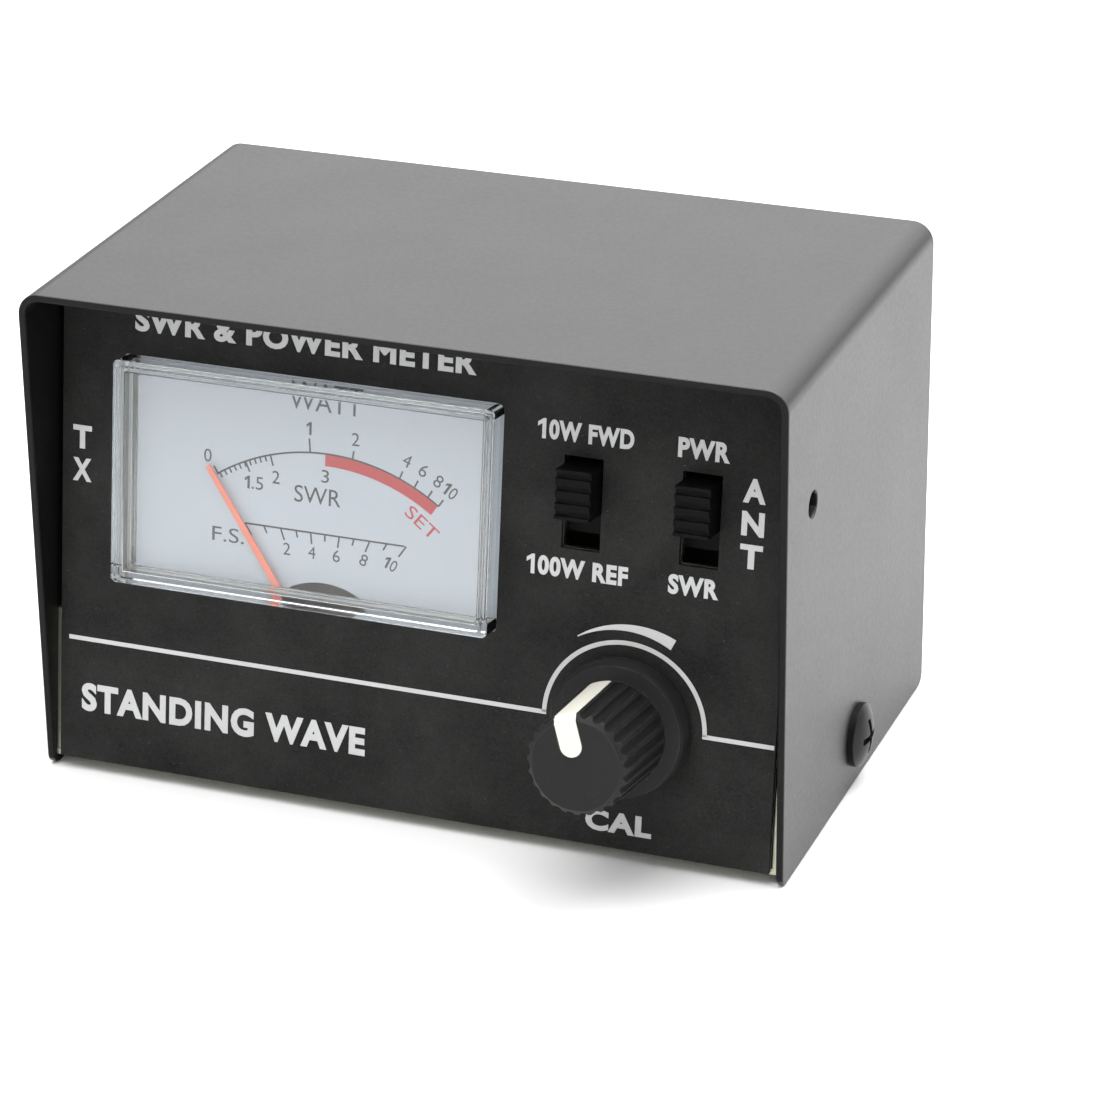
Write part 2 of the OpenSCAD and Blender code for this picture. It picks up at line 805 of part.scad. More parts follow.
module front_hairspring() {
    color("orange") on_panel(pivot_u, pivot_v, hub_n + hub_t) hairspring();
}

module rear_hairspring() {
    color("orange") on_panel(pivot_u, pivot_v, coil_back - spring_w) hairspring();
}

module meter_studs() {
    color("goldenrod") on_panel() for (x = [-1, 1]) translate([window_u + x * stud_u, stud_v, 0]) {
        translate([0, 0, housing_back + housing_floor]) cylinder(r = m3_head_r, h = stud_head_h);
        translate([0, 0, housing_back - stud_out]) cylinder(r = m3_r, h = housing_floor + stud_out + eps);
    }
}

module meter_stud_nuts() {
    color("silver") on_panel() for (x = [-1, 1])
        translate([window_u + x * stud_u, stud_v, housing_back - m3_nut_t])
            hex_nut(m3_nut, m3_nut_t, m3_r + thread_gap);
}

// The strap that holds the meter's case against the front wall
module meter_bracket() {
    w = housing_w + 2 * slide_gap;
    back = housing_back - slide_gap;
    color("gainsboro") on_panel(window_u, bracket_v, 0) difference() {
        union() {
            difference() {
                translate([0, 0, back - chassis_t])
                    slab(w + 2 * chassis_t, bracket_w, wall_back - back + chassis_t);
                translate([0, 0, back]) slab(w, far, far);
            }
            for (side = [-1, 1]) translate([side * (w / 2 + bracket_foot / 2), 0, wall_back - chassis_t])
                slab(bracket_foot, bracket_w, chassis_t);
        }
        for (p = bracket_screw_places()) translate([p[0] - window_u, p[1] - bracket_v, -far / 2])
            cylinder(r = bracket_screw_r + hole_gap, h = far);
    }
}

// A countersunk screw whose head is flush with the chassis front wall
module sunk_screw(r, head_r, l) {
    difference() {
        union() {
            translate([0, 0, wall_back])
                cylinder(r1 = r - thread_gap, r2 = head_r - thread_gap, h = chassis_t);
            translate([0, 0, -panel_t - l]) cylinder(r = r - thread_gap, h = l - chassis_t + eps);
        }
        translate([0, 0, -panel_t]) cross_recess(1.2 * head_r, 0.2 * head_r, 0.5 * chassis_t);
    }
}

module bracket_screws() {
    color("silver") on_panel() for (p = bracket_screw_places()) translate([p[0], p[1], 0])
        sunk_screw(bracket_screw_r, bracket_head_r, 2 * chassis_t + bracket_nut_t + 1);
}

module bracket_nuts() {
    color("silver") on_panel() for (p = bracket_screw_places())
        translate([p[0], p[1], wall_back - chassis_t - bracket_nut_t])
            hex_nut(bracket_nut, bracket_nut_t, bracket_screw_r + thread_gap);
}

// ---- Slide switches, each described round its own centre ----

module switch_frame() {
    color("gainsboro") difference() {
        union() {
            translate([0, 0, wall_back - switch_flange_t]) slab(switch_w, switch_flange_l, switch_flange_t);
            translate([0, 0, base_n]) slab(switch_w, switch_can_l, switch_can_d + eps);
        }
        translate([0, 0, base_n - eps])
            slab(switch_w - 2 * switch_wall, switch_can_l - 2 * switch_wall, switch_can_d + eps);
        translate([0, 0, -far / 2]) slab(slot_w, slot_l, far);
        for (y = [-1, 1]) translate([0, y * switch_pitch / 2, -far / 2])
            cylinder(r = m3_r + thread_gap, h = far);
    }
}

module switch_base() {
    color("saddlebrown") translate([0, 0, base_n - base_t]) difference() {
        slab(switch_w, switch_can_l, base_t);
        for (x = [-1, 1], y = [-1:1]) translate([x * terminal_x, y * terminal_pitch, -eps])
            cylinder(r = rivet_r, h = base_t + 2 * eps);
    }
}

// Six riveted terminals, each a contact head, a rivet and a solder tag
module switch_terminals() {
    color("silver") for (x = [-1, 1], y = [-1:1]) translate([x * terminal_x, y * terminal_pitch, base_n]) {
        cylinder(r = rivet_head_r, h = rivet_head_t);
        translate([0, 0, -base_t - 0.3]) cylinder(r = rivet_r, h = base_t + 0.3 + eps);
        difference() {
            translate([0, 0, -base_t - tag_l]) slab(tag_t, tag_w, tag_l);
            translate([0, 0, -base_t - 0.72 * tag_l]) rotate([0, 90, 0])
                cylinder(r = tag_hole_r, h = 2, center = true);
        }
    }
}

// The grip and the slider under it, in the up position
module switch_actuator() {
    up = switch_travel / 2;
    grip_top = grip_proud - slider_n;
    color([0.08, 0.08, 0.08]) translate([0, up, slider_n]) difference() {
        union() {
            slab(grip_w, grip_l, grip_top);
            translate([0, 0, -slider_t]) slab(slider_w, slider_l, slider_t + eps);
        }
        for (i = [0:3]) translate([-far / 2, (i - 1.5) * grip_l / 4 - rib_w / 2, grip_top - rib_d])
            cube([far, rib_w, far]);
        for (x = [-1, 1]) translate([x * terminal_x, 0, -slider_t - eps])
            slab(guide_w, slider_l - 3, guide_d + eps);
    }
}

// Two bridging contacts under the slider
module switch_contacts() {
    up = switch_travel / 2;
    top = slider_n - slider_t + guide_d;
    low = base_n + rivet_head_t + run_gap;
    color("goldenrod") for (x = [-1, 1]) translate([x * terminal_x, up, 0]) {
        translate([0, 0, top - bridge_contact_t]) slab(bridge_contact_w, slider_l - 3.6, bridge_contact_t);
        for (y = [-1, 1]) translate([0, y * terminal_pitch / 2, low])
            slab(1.4, 1.2, top - low - bridge_contact_t + eps);
    }
}

module range_switch_frame() { on_panel(range_sw_u, switch_v) switch_frame(); }
module range_switch_base() { on_panel(range_sw_u, switch_v) switch_base(); }
module range_switch_terminals() { on_panel(range_sw_u, switch_v) switch_terminals(); }
module range_switch_actuator() { on_panel(range_sw_u, switch_v) switch_actuator(); }
module range_switch_contacts() { on_panel(range_sw_u, switch_v) switch_contacts(); }
module function_switch_frame() { on_panel(function_sw_u, switch_v) switch_frame(); }
module function_switch_base() { on_panel(function_sw_u, switch_v) switch_base(); }
module function_switch_terminals() { on_panel(function_sw_u, switch_v) switch_terminals(); }
module function_switch_actuator() { on_panel(function_sw_u, switch_v) switch_actuator(); }
module function_switch_contacts() { on_panel(function_sw_u, switch_v) switch_contacts(); }

module switch_screws() {
    color("silver") on_panel() for (p = switch_screw_places()) translate([p[0], p[1], 0])
        sunk_screw(m3_r, m3_head_r, 5);
}

// ---- Calibration control ----

module pot_bushing() {
    color("silver") on_panel(pot_u, pot_v, 0) difference() {
        union() {
            translate([0, 0, element_front]) cylinder(d = pot_d, h = pot_plate_t);
            translate([0, 0, wall_back - eps]) cylinder(r = bushing_r, h = bushing_l + eps);
        }
        translate([0, 0, -far / 2]) cylinder(r = shaft_r + run_gap, h = far);
    }
}

// The phenolic wafer with its tab for three tags, and its ring of carbon track
module pot_element() {
    color("saddlebrown") on_panel(pot_u, pot_v, element_back) difference() {
        union() {
            cylinder(d = pot_d, h = element_t);
            translate([-pot_tab_w / 2, -pot_d / 2 - pot_tab, 0])
                cube([pot_tab_w, pot_d / 2 + pot_tab, element_t]);
        }
        translate([0, 0, -eps]) cylinder(r = shaft_r + 0.5, h = element_t + 2 * eps);
        for (i = [-1:1]) translate([i * pot_tag_pitch, pot_tag_v, -eps])
            cylinder(r = pot_rivet_r, h = element_t + 2 * eps);
    }
}

module pot_terminals() {
    color("silver") on_panel(pot_u, pot_v, element_back) for (i = [-1:1])
        translate([i * pot_tag_pitch, pot_tag_v, 0]) {
            translate([0, 0, -tag_t]) cylinder(r = pot_rivet_r, h = element_t + tag_t);
            translate([0, 0, -tag_t]) cylinder(r = 1.2, h = tag_t);
            translate([-tag_w / 2, -0.8, -tag_l]) cube([tag_w, tag_t, tag_l - tag_t]);
        }
}

module pot_can() {
    color("silver") on_panel(pot_u, pot_v, element_back - can_d) difference() {
        cylinder(d = pot_d, h = can_d);
        translate([0, 0, pot_can_wall]) cylinder(d = pot_d - 2 * pot_can_wall, h = can_d);
    }
}

module pot_washer() {
    color("silver") on_panel(pot_u, pot_v, 0) tube(bushing_r + 1.5, bushing_r + thread_gap, washer_t);
}

module pot_nut() {
    color("silver") on_panel(pot_u, pot_v, washer_t) hex_nut(nut_across, nut_t, bushing_r + thread_gap);
}

// The shaft's round section with its flat, larger by a gap
module shaft_section(gap) {
    difference() {
        circle(r = shaft_r + gap);
        translate([shaft_r - flat_depth + gap, -far / 2]) square(far);
    }
}

module pot_shaft() {
    color("gainsboro") on_panel(pot_u, pot_v, 0) {
        translate([0, 0, element_back - can_d + shaft_back])
            cylinder(r = shaft_r, h = flat_from - element_back + can_d - shaft_back);
        translate([0, 0, flat_from - eps]) linear_extrude(shaft_end - flat_from + eps) shaft_section(0);
    }
}

// The wiper's hub and its contact arm, inside the can
module pot_wiper() {
    color("goldenrod") on_panel(pot_u, pot_v, element_back - can_d + wiper_lift)
    rotate([0, 0, pointer_angle]) {
        tube(wiper_hub_r, shaft_r, wiper_hub_t);
        translate([-1, wiper_hub_r - 0.4, 0]) cube([2, 2, 0.5]);
        translate([-0.8, wiper_hub_r + 0.4, 0]) cube([1.6, 1.2, can_d - wiper_lift - run_gap]);
    }
}

// The knob's outer envelope before its flutes are cut
module knob_envelope() {
    r = knob_grip_d / 2;
    skirt_r = knob_skirt_d / 2;
    rotate_extrude($fn = 96) polygon([
        [0, knob_start], [skirt_r, knob_start], [skirt_r, skirt_top - 1.2], [skirt_r - 0.5, skirt_top - 0.3],
        [r, skirt_top], [knob_top_r, knob_h - knob_edge], [knob_top_r - knob_edge, knob_h], [0, knob_h]
    ]);
}

// The channel in the knob's face and side that the pointer fills
module pointer_channel() {
    translate([-pointer_w / 2, knob_top_r - pointer_in, skirt_top + 0.1])
        cube([pointer_w, far, far]);
    translate([0, 0, knob_h - pointer_in]) linear_extrude(far) {
        translate([0, pointer_start + pointer_w / 2]) circle(d = pointer_w);
        translate([-pointer_w / 2, pointer_start + pointer_w / 2]) square([pointer_w, far]);
    }
}

module knob() {
    nut_room = nut_corner_r + 0.6;
    color([0.09, 0.09, 0.09]) on_panel(pot_u, pot_v, 0) rotate([0, 0, pointer_angle]) difference() {
        knob_envelope();
        translate([0, 0, knob_start - eps]) cylinder(r = nut_room, h = knob_roof - knob_start + eps);
        translate([0, 0, knob_start]) cylinder(r = bushing_r + 0.4, h = flat_from + 0.2 - knob_start);
        translate([0, 0, flat_from]) linear_extrude(shaft_end - flat_from + 0.3) rotate(-pointer_angle)
            shaft_section(0.02);
        for (i = [0:flute_count - 1]) rotate([0, 0, 90 + (i + 0.5) * 360 / flute_count])
            translate([knob_grip_d / 2 + 0.25, 0, skirt_top + 0.2]) rotate([0, flute_draft, 0])
                cylinder(r = flute_r, h = knob_h - skirt_top + 3, $fn = 24);
        pointer_channel();
    }
}

module knob_pointer() {
    color("ivory") on_panel(pot_u, pot_v, 0) rotate([0, 0, pointer_angle]) intersection() {
        knob_envelope();
        pointer_channel();
    }
}

// ---- Coaxial sockets, each described along its axis to the rear ----

module socket_shell() {
    end_s = flange_t + barrel_l;
    color("silver") difference() {
        union() {
            linear_extrude(flange_t) round_rect(flange_w, flange_w, flange_corner_r);
            cylinder(d = barrel_d, h = end_s);
            translate([0, 0, -spigot_l]) cylinder(r = spigot_r, h = spigot_l + eps);
        }
        translate([0, 0, seat_s]) cylinder(r = mouth_r, h = far);
        translate([0, 0, -spigot_l - eps]) cylinder(r = insulator_r, h = far);
        for (x = [-1, 1], y = [-1, 1]) translate([x, y, 0] * flange_pitch / 2 - [0, 0, eps])
            cylinder(r = m3_r + hole_gap, h = flange_t + 2 * eps);
        for (a = [45, 135]) rotate([0, 0, a]) translate([0, 0, end_s - notch_d]) slab(far, notch_w, far);
    }
}

module socket_insulator() {
    color("white") difference() {
        union() {
            translate([0, 0, -spigot_l]) cylinder(r = insulator_r, h = spigot_l + seat_s + eps);
            translate([0, 0, seat_s]) cylinder(r = mouth_r, h = insulator_lip);
        }
        translate([0, 0, -far / 2]) cylinder(r = stem_r, h = far);
        translate([0, 0, contact_back_s]) cylinder(r = contact_r, h = far);
    }
}

module socket_contact() {
    color("goldenrod") difference() {
        union() {
            translate([0, 0, stem_end_s]) cylinder(r = stem_r, h = contact_back_s - stem_end_s + eps);
            translate([0, 0, contact_back_s]) cylinder(r = contact_r, h = contact_end_s - contact_back_s);
        }
        translate([0, 0, contact_back_s + 0.8]) cylinder(d = contact_hole_d, h = far);
        translate([0, 0, stem_end_s - eps]) cylinder(r = stem_r - 0.6, h = 2.5);
        for (a = [0, 90]) rotate([0, 0, a]) translate([0, 0, contact_end_s - slit_l]) slab(far, slit_w, far);
    }
}

module tx_socket_shell() { on_rear(-socket_x, socket_z) socket_shell(); }
module tx_socket_insulator() { on_rear(-socket_x, socket_z) socket_insulator(); }
module tx_socket_contact() { on_rear(-socket_x, socket_z) socket_contact(); }
module ant_socket_shell() { on_rear(socket_x, socket_z) socket_shell(); }
module ant_socket_insulator() { on_rear(socket_x, socket_z) socket_insulator(); }
module ant_socket_contact() { on_rear(socket_x, socket_z) socket_contact(); }

// Puts a child at each flange screw; the screws nearer the middle also carry the board
module at_flange_screws(inner) {
    for (side = [-1, 1], y = [-1, 1])
        on_rear(side * (socket_x + (inner ? -1 : 1) * flange_pitch / 2), socket_z + y * flange_pitch / 2)
            children();
}

module socket_screw(end_s) {
    translate([0, 0, flange_t]) domed_head(m3_head_r, m3_head_h, 0.9);
    translate([0, 0, end_s]) cylinder(r = m3_r, h = flange_t - end_s + eps);
}

module socket_screws() {
    color("silver") {
        at_flange_screws(true) socket_screw(long_screw_s);
        at_flange_screws(false) socket_screw(short_screw_s);
    }
}

module socket_nuts() {
    color("gainsboro") {
        at_flange_screws(true) translate([0, 0, board_front_s - m3_nut_t])
            hex_nut(m3_nut, m3_nut_t, m3_r + thread_gap);
        at_flange_screws(false) translate([0, 0, -chassis_t - m3_nut_t])
            hex_nut(m3_nut, m3_nut_t, m3_r + thread_gap);
    }
}

module board_spacers() {
    color("silver") at_flange_screws(true) translate([0, 0, board_back_s])
        tube(m3_head_r, m3_r + hole_gap, spacer_l);
}

// ---- Circuit board ----

module circuit_board() {
    color("peru") difference() {
        on_rear(0, socket_z, board_front_s) slab(board_w, board_h, board_t);
        for (side = [-1, 1]) on_rear(side * socket_x, socket_z, -far / 2)
            cylinder(r = stem_r + hole_gap, h = far);
        at_flange_screws(true) translate([0, 0, -far / 2]) cylinder(r = m3_r + hole_gap, h = far);
    }
}

// The through line between the two sockets and the two pick-up lines beside it
module line_strips() {
    color("orange") {
        difference() {
            on_rear(0, socket_z, board_front_s - strip_t) slab(2 * socket_x + 6, strip_w, strip_t);
            for (side = [-1, 1]) on_rear(side * socket_x, socket_z, -far / 2) cylinder(r = stem_r, h = far);
        }
        for (side = [-1, 1]) on_rear(0, socket_z + side * pickup_z, board_front_s - strip_t)
            slab(pickup_l, pickup_w, strip_t);
    }
}

// A part with two bent leads, standing on the board's front face; leads reach back to the board
module axial_part(x, z, r, l) {
    on_rear(x, z, board_front_s - r - stand_off) {
        rotate([0, 90, 0]) cylinder(r = r, h = l, center = true);
        for (side = [-1, 1]) {
            translate([side * (l + lead_out) / 2, 0, 0]) rotate([0, 90, 0])
                cylinder(r = lead_r, h = lead_out + 2 * lead_r, center = true);
            translate([side * (l / 2 + lead_out), 0, 0]) cylinder(r = lead_r, h = r + stand_off);
        }
    }
}

// Detector diodes, load resistors, bypass capacitors and a trimmer on the board's front face
module board_components() {
    color("orangered") for (x = [-1, 1]) axial_part(x * component_pitch, socket_z + component_row, 0.9, 3.6);
    color("tan") for (x = [-1, 0, 1]) axial_part(x * component_pitch, socket_z - component_row, 1.2, 6);
    color("khaki") for (x = [-1, 1])
    on_rear(x * disc_x, socket_z + component_row, board_front_s - disc_lift) {
        rotate([90, 0, 0]) cylinder(r = disc_r, h = disc_t, center = true);
        for (u = [-1, 1]) translate([u * disc_r / 2, 0, 0]) cylinder(r = lead_r, h = disc_lift);
    }
    color("steelblue") on_rear(trimmer_x, socket_z - component_row, board_front_s - trimmer_h) difference() {
        slab(trimmer_w, trimmer_w, trimmer_h);
        translate([0, 0, -eps]) cylinder(r = 1.6, h = 0.6);
    }
}

cover();
chassis();
front_panel();
cover_screws();
meter_housing();
meter_window();
scale_plate();
scale_plate_screws();
core_magnet();
core_spacers();
yoke_ring();
movement_frame();
movement_screws();
front_bridge();
jewel_screws();
coil_former();
moving_coil();
pivot_pins();
needle();
needle_counterweight();
front_hairspring();
rear_hairspring();
meter_studs();
meter_stud_nuts();
meter_bracket();
bracket_screws();
bracket_nuts();
range_switch_frame();
range_switch_base();
range_switch_terminals();
range_switch_actuator();
range_switch_contacts();
function_switch_frame();
function_switch_base();
function_switch_terminals();
function_switch_actuator();
function_switch_contacts();
switch_screws();
pot_bushing();
pot_element();
pot_terminals();
pot_can();
pot_washer();
pot_nut();
pot_shaft();
pot_wiper();
knob();
knob_pointer();
tx_socket_shell();
tx_socket_insulator();
tx_socket_contact();
ant_socket_shell();
ant_socket_insulator();
ant_socket_contact();
socket_screws();
socket_nuts();
board_spacers();
circuit_board();
line_strips();
board_components();
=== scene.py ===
"""The looks of a small standing-wave and power meter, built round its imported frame.

The frame gives every place: the panel's lean comes from the joints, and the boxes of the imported
nodes give the rest. Lengths inside the classes are in millimetres, and become metres when a mesh is
made. Pieces on the front panel are described by u to the right, v up the slope and n out of its face.
"""

import json
import logging
import math
from dataclasses import dataclass
from enum import Enum
from typing import Iterable, Sequence

import bmesh
import bpy
import numpy as np
from mathutils import Matrix, Vector

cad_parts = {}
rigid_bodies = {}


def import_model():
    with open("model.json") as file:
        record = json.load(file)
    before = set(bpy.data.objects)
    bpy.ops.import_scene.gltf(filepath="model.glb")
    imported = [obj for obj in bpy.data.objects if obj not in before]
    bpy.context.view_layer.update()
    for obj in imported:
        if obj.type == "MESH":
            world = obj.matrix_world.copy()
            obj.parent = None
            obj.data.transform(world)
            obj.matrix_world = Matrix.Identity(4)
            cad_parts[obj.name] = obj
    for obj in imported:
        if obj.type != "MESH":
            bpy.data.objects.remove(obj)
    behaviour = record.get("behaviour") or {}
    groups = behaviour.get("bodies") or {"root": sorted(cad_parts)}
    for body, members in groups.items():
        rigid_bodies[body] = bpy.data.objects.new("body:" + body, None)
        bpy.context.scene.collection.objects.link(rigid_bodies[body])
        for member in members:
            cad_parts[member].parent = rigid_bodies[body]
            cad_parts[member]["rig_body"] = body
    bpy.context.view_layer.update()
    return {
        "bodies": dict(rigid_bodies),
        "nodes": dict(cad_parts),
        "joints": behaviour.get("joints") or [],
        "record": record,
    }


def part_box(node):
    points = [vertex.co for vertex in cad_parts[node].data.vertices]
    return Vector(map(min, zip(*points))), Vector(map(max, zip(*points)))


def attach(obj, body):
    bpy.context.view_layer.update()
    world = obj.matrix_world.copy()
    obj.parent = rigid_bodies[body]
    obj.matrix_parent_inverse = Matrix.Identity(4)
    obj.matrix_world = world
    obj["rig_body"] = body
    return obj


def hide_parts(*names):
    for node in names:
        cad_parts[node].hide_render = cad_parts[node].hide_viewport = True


LOG = logging.getLogger("meter")
MM = 0.001

# Edges sharper than this many degrees stay sharp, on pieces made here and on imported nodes.
PIECE_CREASE = 35.0
NODE_CREASE = 30.0


# ---- Finishes ----------------------------------------------------------------------------------


class Pattern(Enum):
    """The small-scale structure of a surface."""

    POWDER_COAT = "powder coat"
    FINE_GRAIN = "fine grain"
    MOULDED = "moulded"
    BRUSHED = "brushed"
    PLATED = "plated"
    LAMINATE = "laminate"
    WOUND = "wound"
    PRINTED = "printed"


@dataclass(frozen=True)
class Finish:
    """How one surface looks.

    Attributes:
        colour: Linear base colour.
        shade: Linear colour that the base drifts towards in patches.
        roughness: Middle roughness.
        pattern: The structure of the surface.
        metallic: 1 for bare metal.
        specular: Strength of the mirror-like share on plastics and paints.
        grain: Width of the smallest features in millimetres.
        relief: Height of those features in millimetres.
        drift: How far the patches go towards the shade.
        wear: How much of the edges is rubbed to the worn colour.
        worn: Linear colour of rubbed edges.
        coat: Strength of a clear coat.
    """

    colour: tuple[float, float, float]
    shade: tuple[float, float, float]
    roughness: float
    pattern: Pattern = Pattern.MOULDED
    metallic: float = 0.0
    specular: float = 0.5
    grain: float = 0.4
    relief: float = 0.01
    drift: float = 0.5
    wear: float = 0.0
    worn: tuple[float, float, float] = (0.2, 0.2, 0.2)
    coat: float = 0.0


def grey(value: float, warmth: float = 0.0) -> tuple[float, float, float]:
    """A linear grey, warmer where warmth is above 0."""
    return (value * (1 + warmth), value, value * (1 - warmth))


def metal(colour: tuple, shade: tuple, roughness: float, **more: object) -> Finish:
    """Bare brushed metal."""
    return Finish(colour, shade, roughness, Pattern.BRUSHED, metallic=1.0, **more)


def printed(colour: tuple, shade: tuple, roughness: float, grain: float, **more: object) -> Finish:
    """Printed ink or paper."""
    return Finish(colour, shade, roughness, Pattern.PRINTED, grain=grain, **more)


FINISHES = {
    "cover_paint": Finish(grey(0.014), grey(0.02), 0.4, Pattern.POWDER_COAT, grain=0.55, drift=0.6,
                          wear=0.25, worn=grey(0.09), specular=0.62),
    # Darker, less shiny cover paint: partly a matte inner finish, partly painted shade on the inner
    # faces and front edges.
    "cover_inside_and_painted_shade": Finish(grey(0.004), grey(0.008), 0.55, Pattern.POWDER_COAT, grain=0.55,
                           drift=0.6, wear=0.1, worn=grey(0.05), specular=0.16),
    "panel_print": Finish(grey(0.004, 0.03), grey(0.03, 0.03), 0.6, Pattern.FINE_GRAIN, grain=0.28,
                          relief=0.03, specular=0.12, drift=0.9, wear=0.12, worn=grey(0.05)),
    "panel_ink": printed(grey(0.54, -0.01), grey(0.43), 0.55, 0.2, relief=0.004, drift=0.7),
    "dial_face": printed((0.41, 0.44, 0.485), (0.385, 0.41, 0.445), 0.5, 0.5, relief=0.002),
    "dial_ink": printed(grey(0.02), grey(0.035), 0.5, 0.15, relief=0.002),
    "dial_red": printed((0.42, 0.01, 0.012), (0.36, 0.014, 0.014), 0.45, 0.2, relief=0.002),
    "needle_paint": Finish((0.72, 0.19, 0.115), (0.64, 0.15, 0.09), 0.4, grain=0.3, relief=0.003),
    "housing_plastic": Finish(grey(0.72, 0.02), grey(0.64, 0.04), 0.5, grain=0.6, relief=0.006),
    "knob_plastic": Finish(grey(0.012), grey(0.02), 0.5, grain=0.35, relief=0.012, wear=0.55,
                           worn=grey(0.07), specular=0.16),
    "ivory_plastic": Finish((0.74, 0.73, 0.65), (0.64, 0.62, 0.53), 0.42, grain=0.5, relief=0.006,
                            wear=0.2, worn=grey(0.55, 0.06)),
    "black_plastic": Finish(grey(0.002), grey(0.005), 0.42, grain=0.3, relief=0.008, wear=0.2,
                            worn=grey(0.02), specular=0.08),
    "black_screw": Finish(grey(0.006), grey(0.012), 0.32, grain=0.6, relief=0.004, wear=0.3,
                          worn=grey(0.07), specular=0.16),
    "plated_steel": Finish((0.56, 0.55, 0.45), (0.36, 0.36, 0.29), 0.34, Pattern.PLATED, metallic=1.0,
                           grain=1.6, relief=0.003, drift=0.9, wear=0.2, worn=grey(0.75)),
    "nickel": metal(grey(0.42, 0.03), grey(0.3, 0.05), 0.26, grain=0.25, relief=0.002, wear=0.3,
                    worn=grey(0.8, 0.02)),
    "magnet": metal(grey(0.18), grey(0.12), 0.45, grain=0.3, relief=0.004),
    "soft_iron": metal(grey(0.35), grey(0.24, 0.05), 0.42, grain=0.3, relief=0.004),
    "brass_part": metal((0.72, 0.52, 0.22), (0.55, 0.38, 0.15), 0.3, grain=0.25, relief=0.003,
                        wear=0.2, worn=(0.85, 0.7, 0.4)),
    "light_alloy": metal(grey(0.72), grey(0.6), 0.32, grain=0.25, relief=0.003, wear=0.2,
                         worn=grey(0.85)),
    "copper_coil": Finish((0.5, 0.17, 0.06), (0.3, 0.09, 0.03), 0.3, Pattern.WOUND, metallic=0.8,
                          grain=0.12, relief=0.03),
    "spring_bronze": metal((0.68, 0.42, 0.2), (0.5, 0.3, 0.14), 0.28, grain=0.2, relief=0.002),
    "phenolic": Finish((0.018, 0.01, 0.006), (0.03, 0.016, 0.01), 0.45, Pattern.LAMINATE, grain=0.9,
                       relief=0.006),
    "contact_silver": metal(grey(0.72, 0.03), grey(0.5, 0.06), 0.22, grain=0.2, relief=0.002,
                            wear=0.2, worn=grey(0.85)),
    "insulator": Finish(grey(0.82, 0.01), grey(0.72, 0.02), 0.35, grain=0.5, relief=0.004),
    "circuit_laminate": Finish((0.05, 0.16, 0.06), (0.035, 0.11, 0.04), 0.35, Pattern.LAMINATE,
                               grain=0.5, relief=0.008, coat=0.4),
    "copper_strip": metal((0.7, 0.6, 0.5), (0.55, 0.4, 0.3), 0.32, grain=0.3),
    "component_body": Finish((0.42, 0.2, 0.08), (0.28, 0.12, 0.05), 0.4, Pattern.LAMINATE, grain=0.8,
                             coat=0.2),
}


class NodeTree:
    """A thin, readable wrapper round a Blender node tree."""

    def __init__(self, tree: bpy.types.NodeTree) -> None:
        """Wraps the tree.

        Args:
            tree: The material's, world's or group's node tree.
        """
        self.tree = tree

    def fill(self, node: bpy.types.Node, inputs: dict) -> None:
        """Gives a node's inputs their values and links.

        Args:
            node: The node.
            inputs: Socket name or number to a value, or to another node's output socket.
        """
        for name, value in inputs.items():
            if isinstance(value, bpy.types.NodeSocket):
                self.tree.links.new(value, node.inputs[name])
            else:
                node.inputs[name].default_value = value

    def add(self, kind: str, inputs: dict | None = None, **settings: object) -> bpy.types.Node:
        """Adds one node.

        Args:
            kind: Blender's name of the node type.
            inputs: What fill() takes.
            **settings: The node's own settings.

        Returns:
            The new node.
        """
        node = self.tree.nodes.new(kind)
        for name, value in settings.items():
            setattr(node, name, value)
        self.fill(node, inputs or {})
        return node

    def math(self, operation: str, first: object, second: object = 0.0,
             clamp: bool = False) -> bpy.types.NodeSocket:
        """The output of a Math node on two values or sockets."""
        node = self.add("ShaderNodeMath", {0: first, 1: second}, operation=operation, use_clamp=clamp)
        return node.outputs[0]

    def mix(self, factor: object, first: object, second: object) -> bpy.types.NodeSocket:
        """Goes from one colour to another.

        Args:
            factor: 0 for the first, 1 for the second.
            first: A linear colour or a socket.
            second: A linear colour or a socket.

        Returns:
            The output colour of a Mix node.
        """
        values = {0: factor}
        for index, end in ((6, first), (7, second)):
            values[index] = end if isinstance(end, bpy.types.NodeSocket) else (*end, 1.0)
        return self.add("ShaderNodeMix", values, data_type="RGBA").outputs[2]

    def noise(self, vector: object, width_mm: float, detail: float = 2.0) -> bpy.types.NodeSocket:
        """Noise whose features are about width_mm wide, from an Object vector in metres."""
        values = {"Vector": vector, "Scale": 1.0 / (width_mm * MM), "Detail": detail}
        return self.add("ShaderNodeTexNoise", values).outputs["Fac"]

    def above(self, value: bpy.types.NodeSocket, level: float, gain: float,
              clamp: bool = False) -> bpy.types.NodeSocket:
        """How far a value is above a level, times a gain."""
        return self.math("MULTIPLY", self.math("SUBTRACT", value, level), gain, clamp=clamp)


def make_group(name: str, inputs: Sequence[tuple[str, float]],
               outputs: Sequence[str]) -> tuple[NodeTree, dict, bpy.types.Node]:
    """Starts a shader node group.

    Args:
        name: The group's name.
        inputs: Each input's name and starting value; the name Vector makes a vector socket.
        outputs: Names of the value outputs.

    Returns:
        The wrapped tree, its input sockets by name and the node that takes its outputs.
    """
    tree = bpy.data.node_groups.new(name, "ShaderNodeTree")
    for socket, value in inputs:
        kind = "NodeSocketVector" if socket == "Vector" else "NodeSocketFloat"
        made = tree.interface.new_socket(name=socket, in_out="INPUT", socket_type=kind)
        if kind == "NodeSocketFloat":
            made.default_value = value
    for socket in outputs:
        tree.interface.new_socket(name=socket, in_out="OUTPUT", socket_type="NodeSocketFloat")
    wrapped = NodeTree(tree)
    start = wrapped.add("NodeGroupInput")
    end = wrapped.add("NodeGroupOutput")
    return wrapped, {socket.name: socket for socket in start.outputs if socket.name}, end


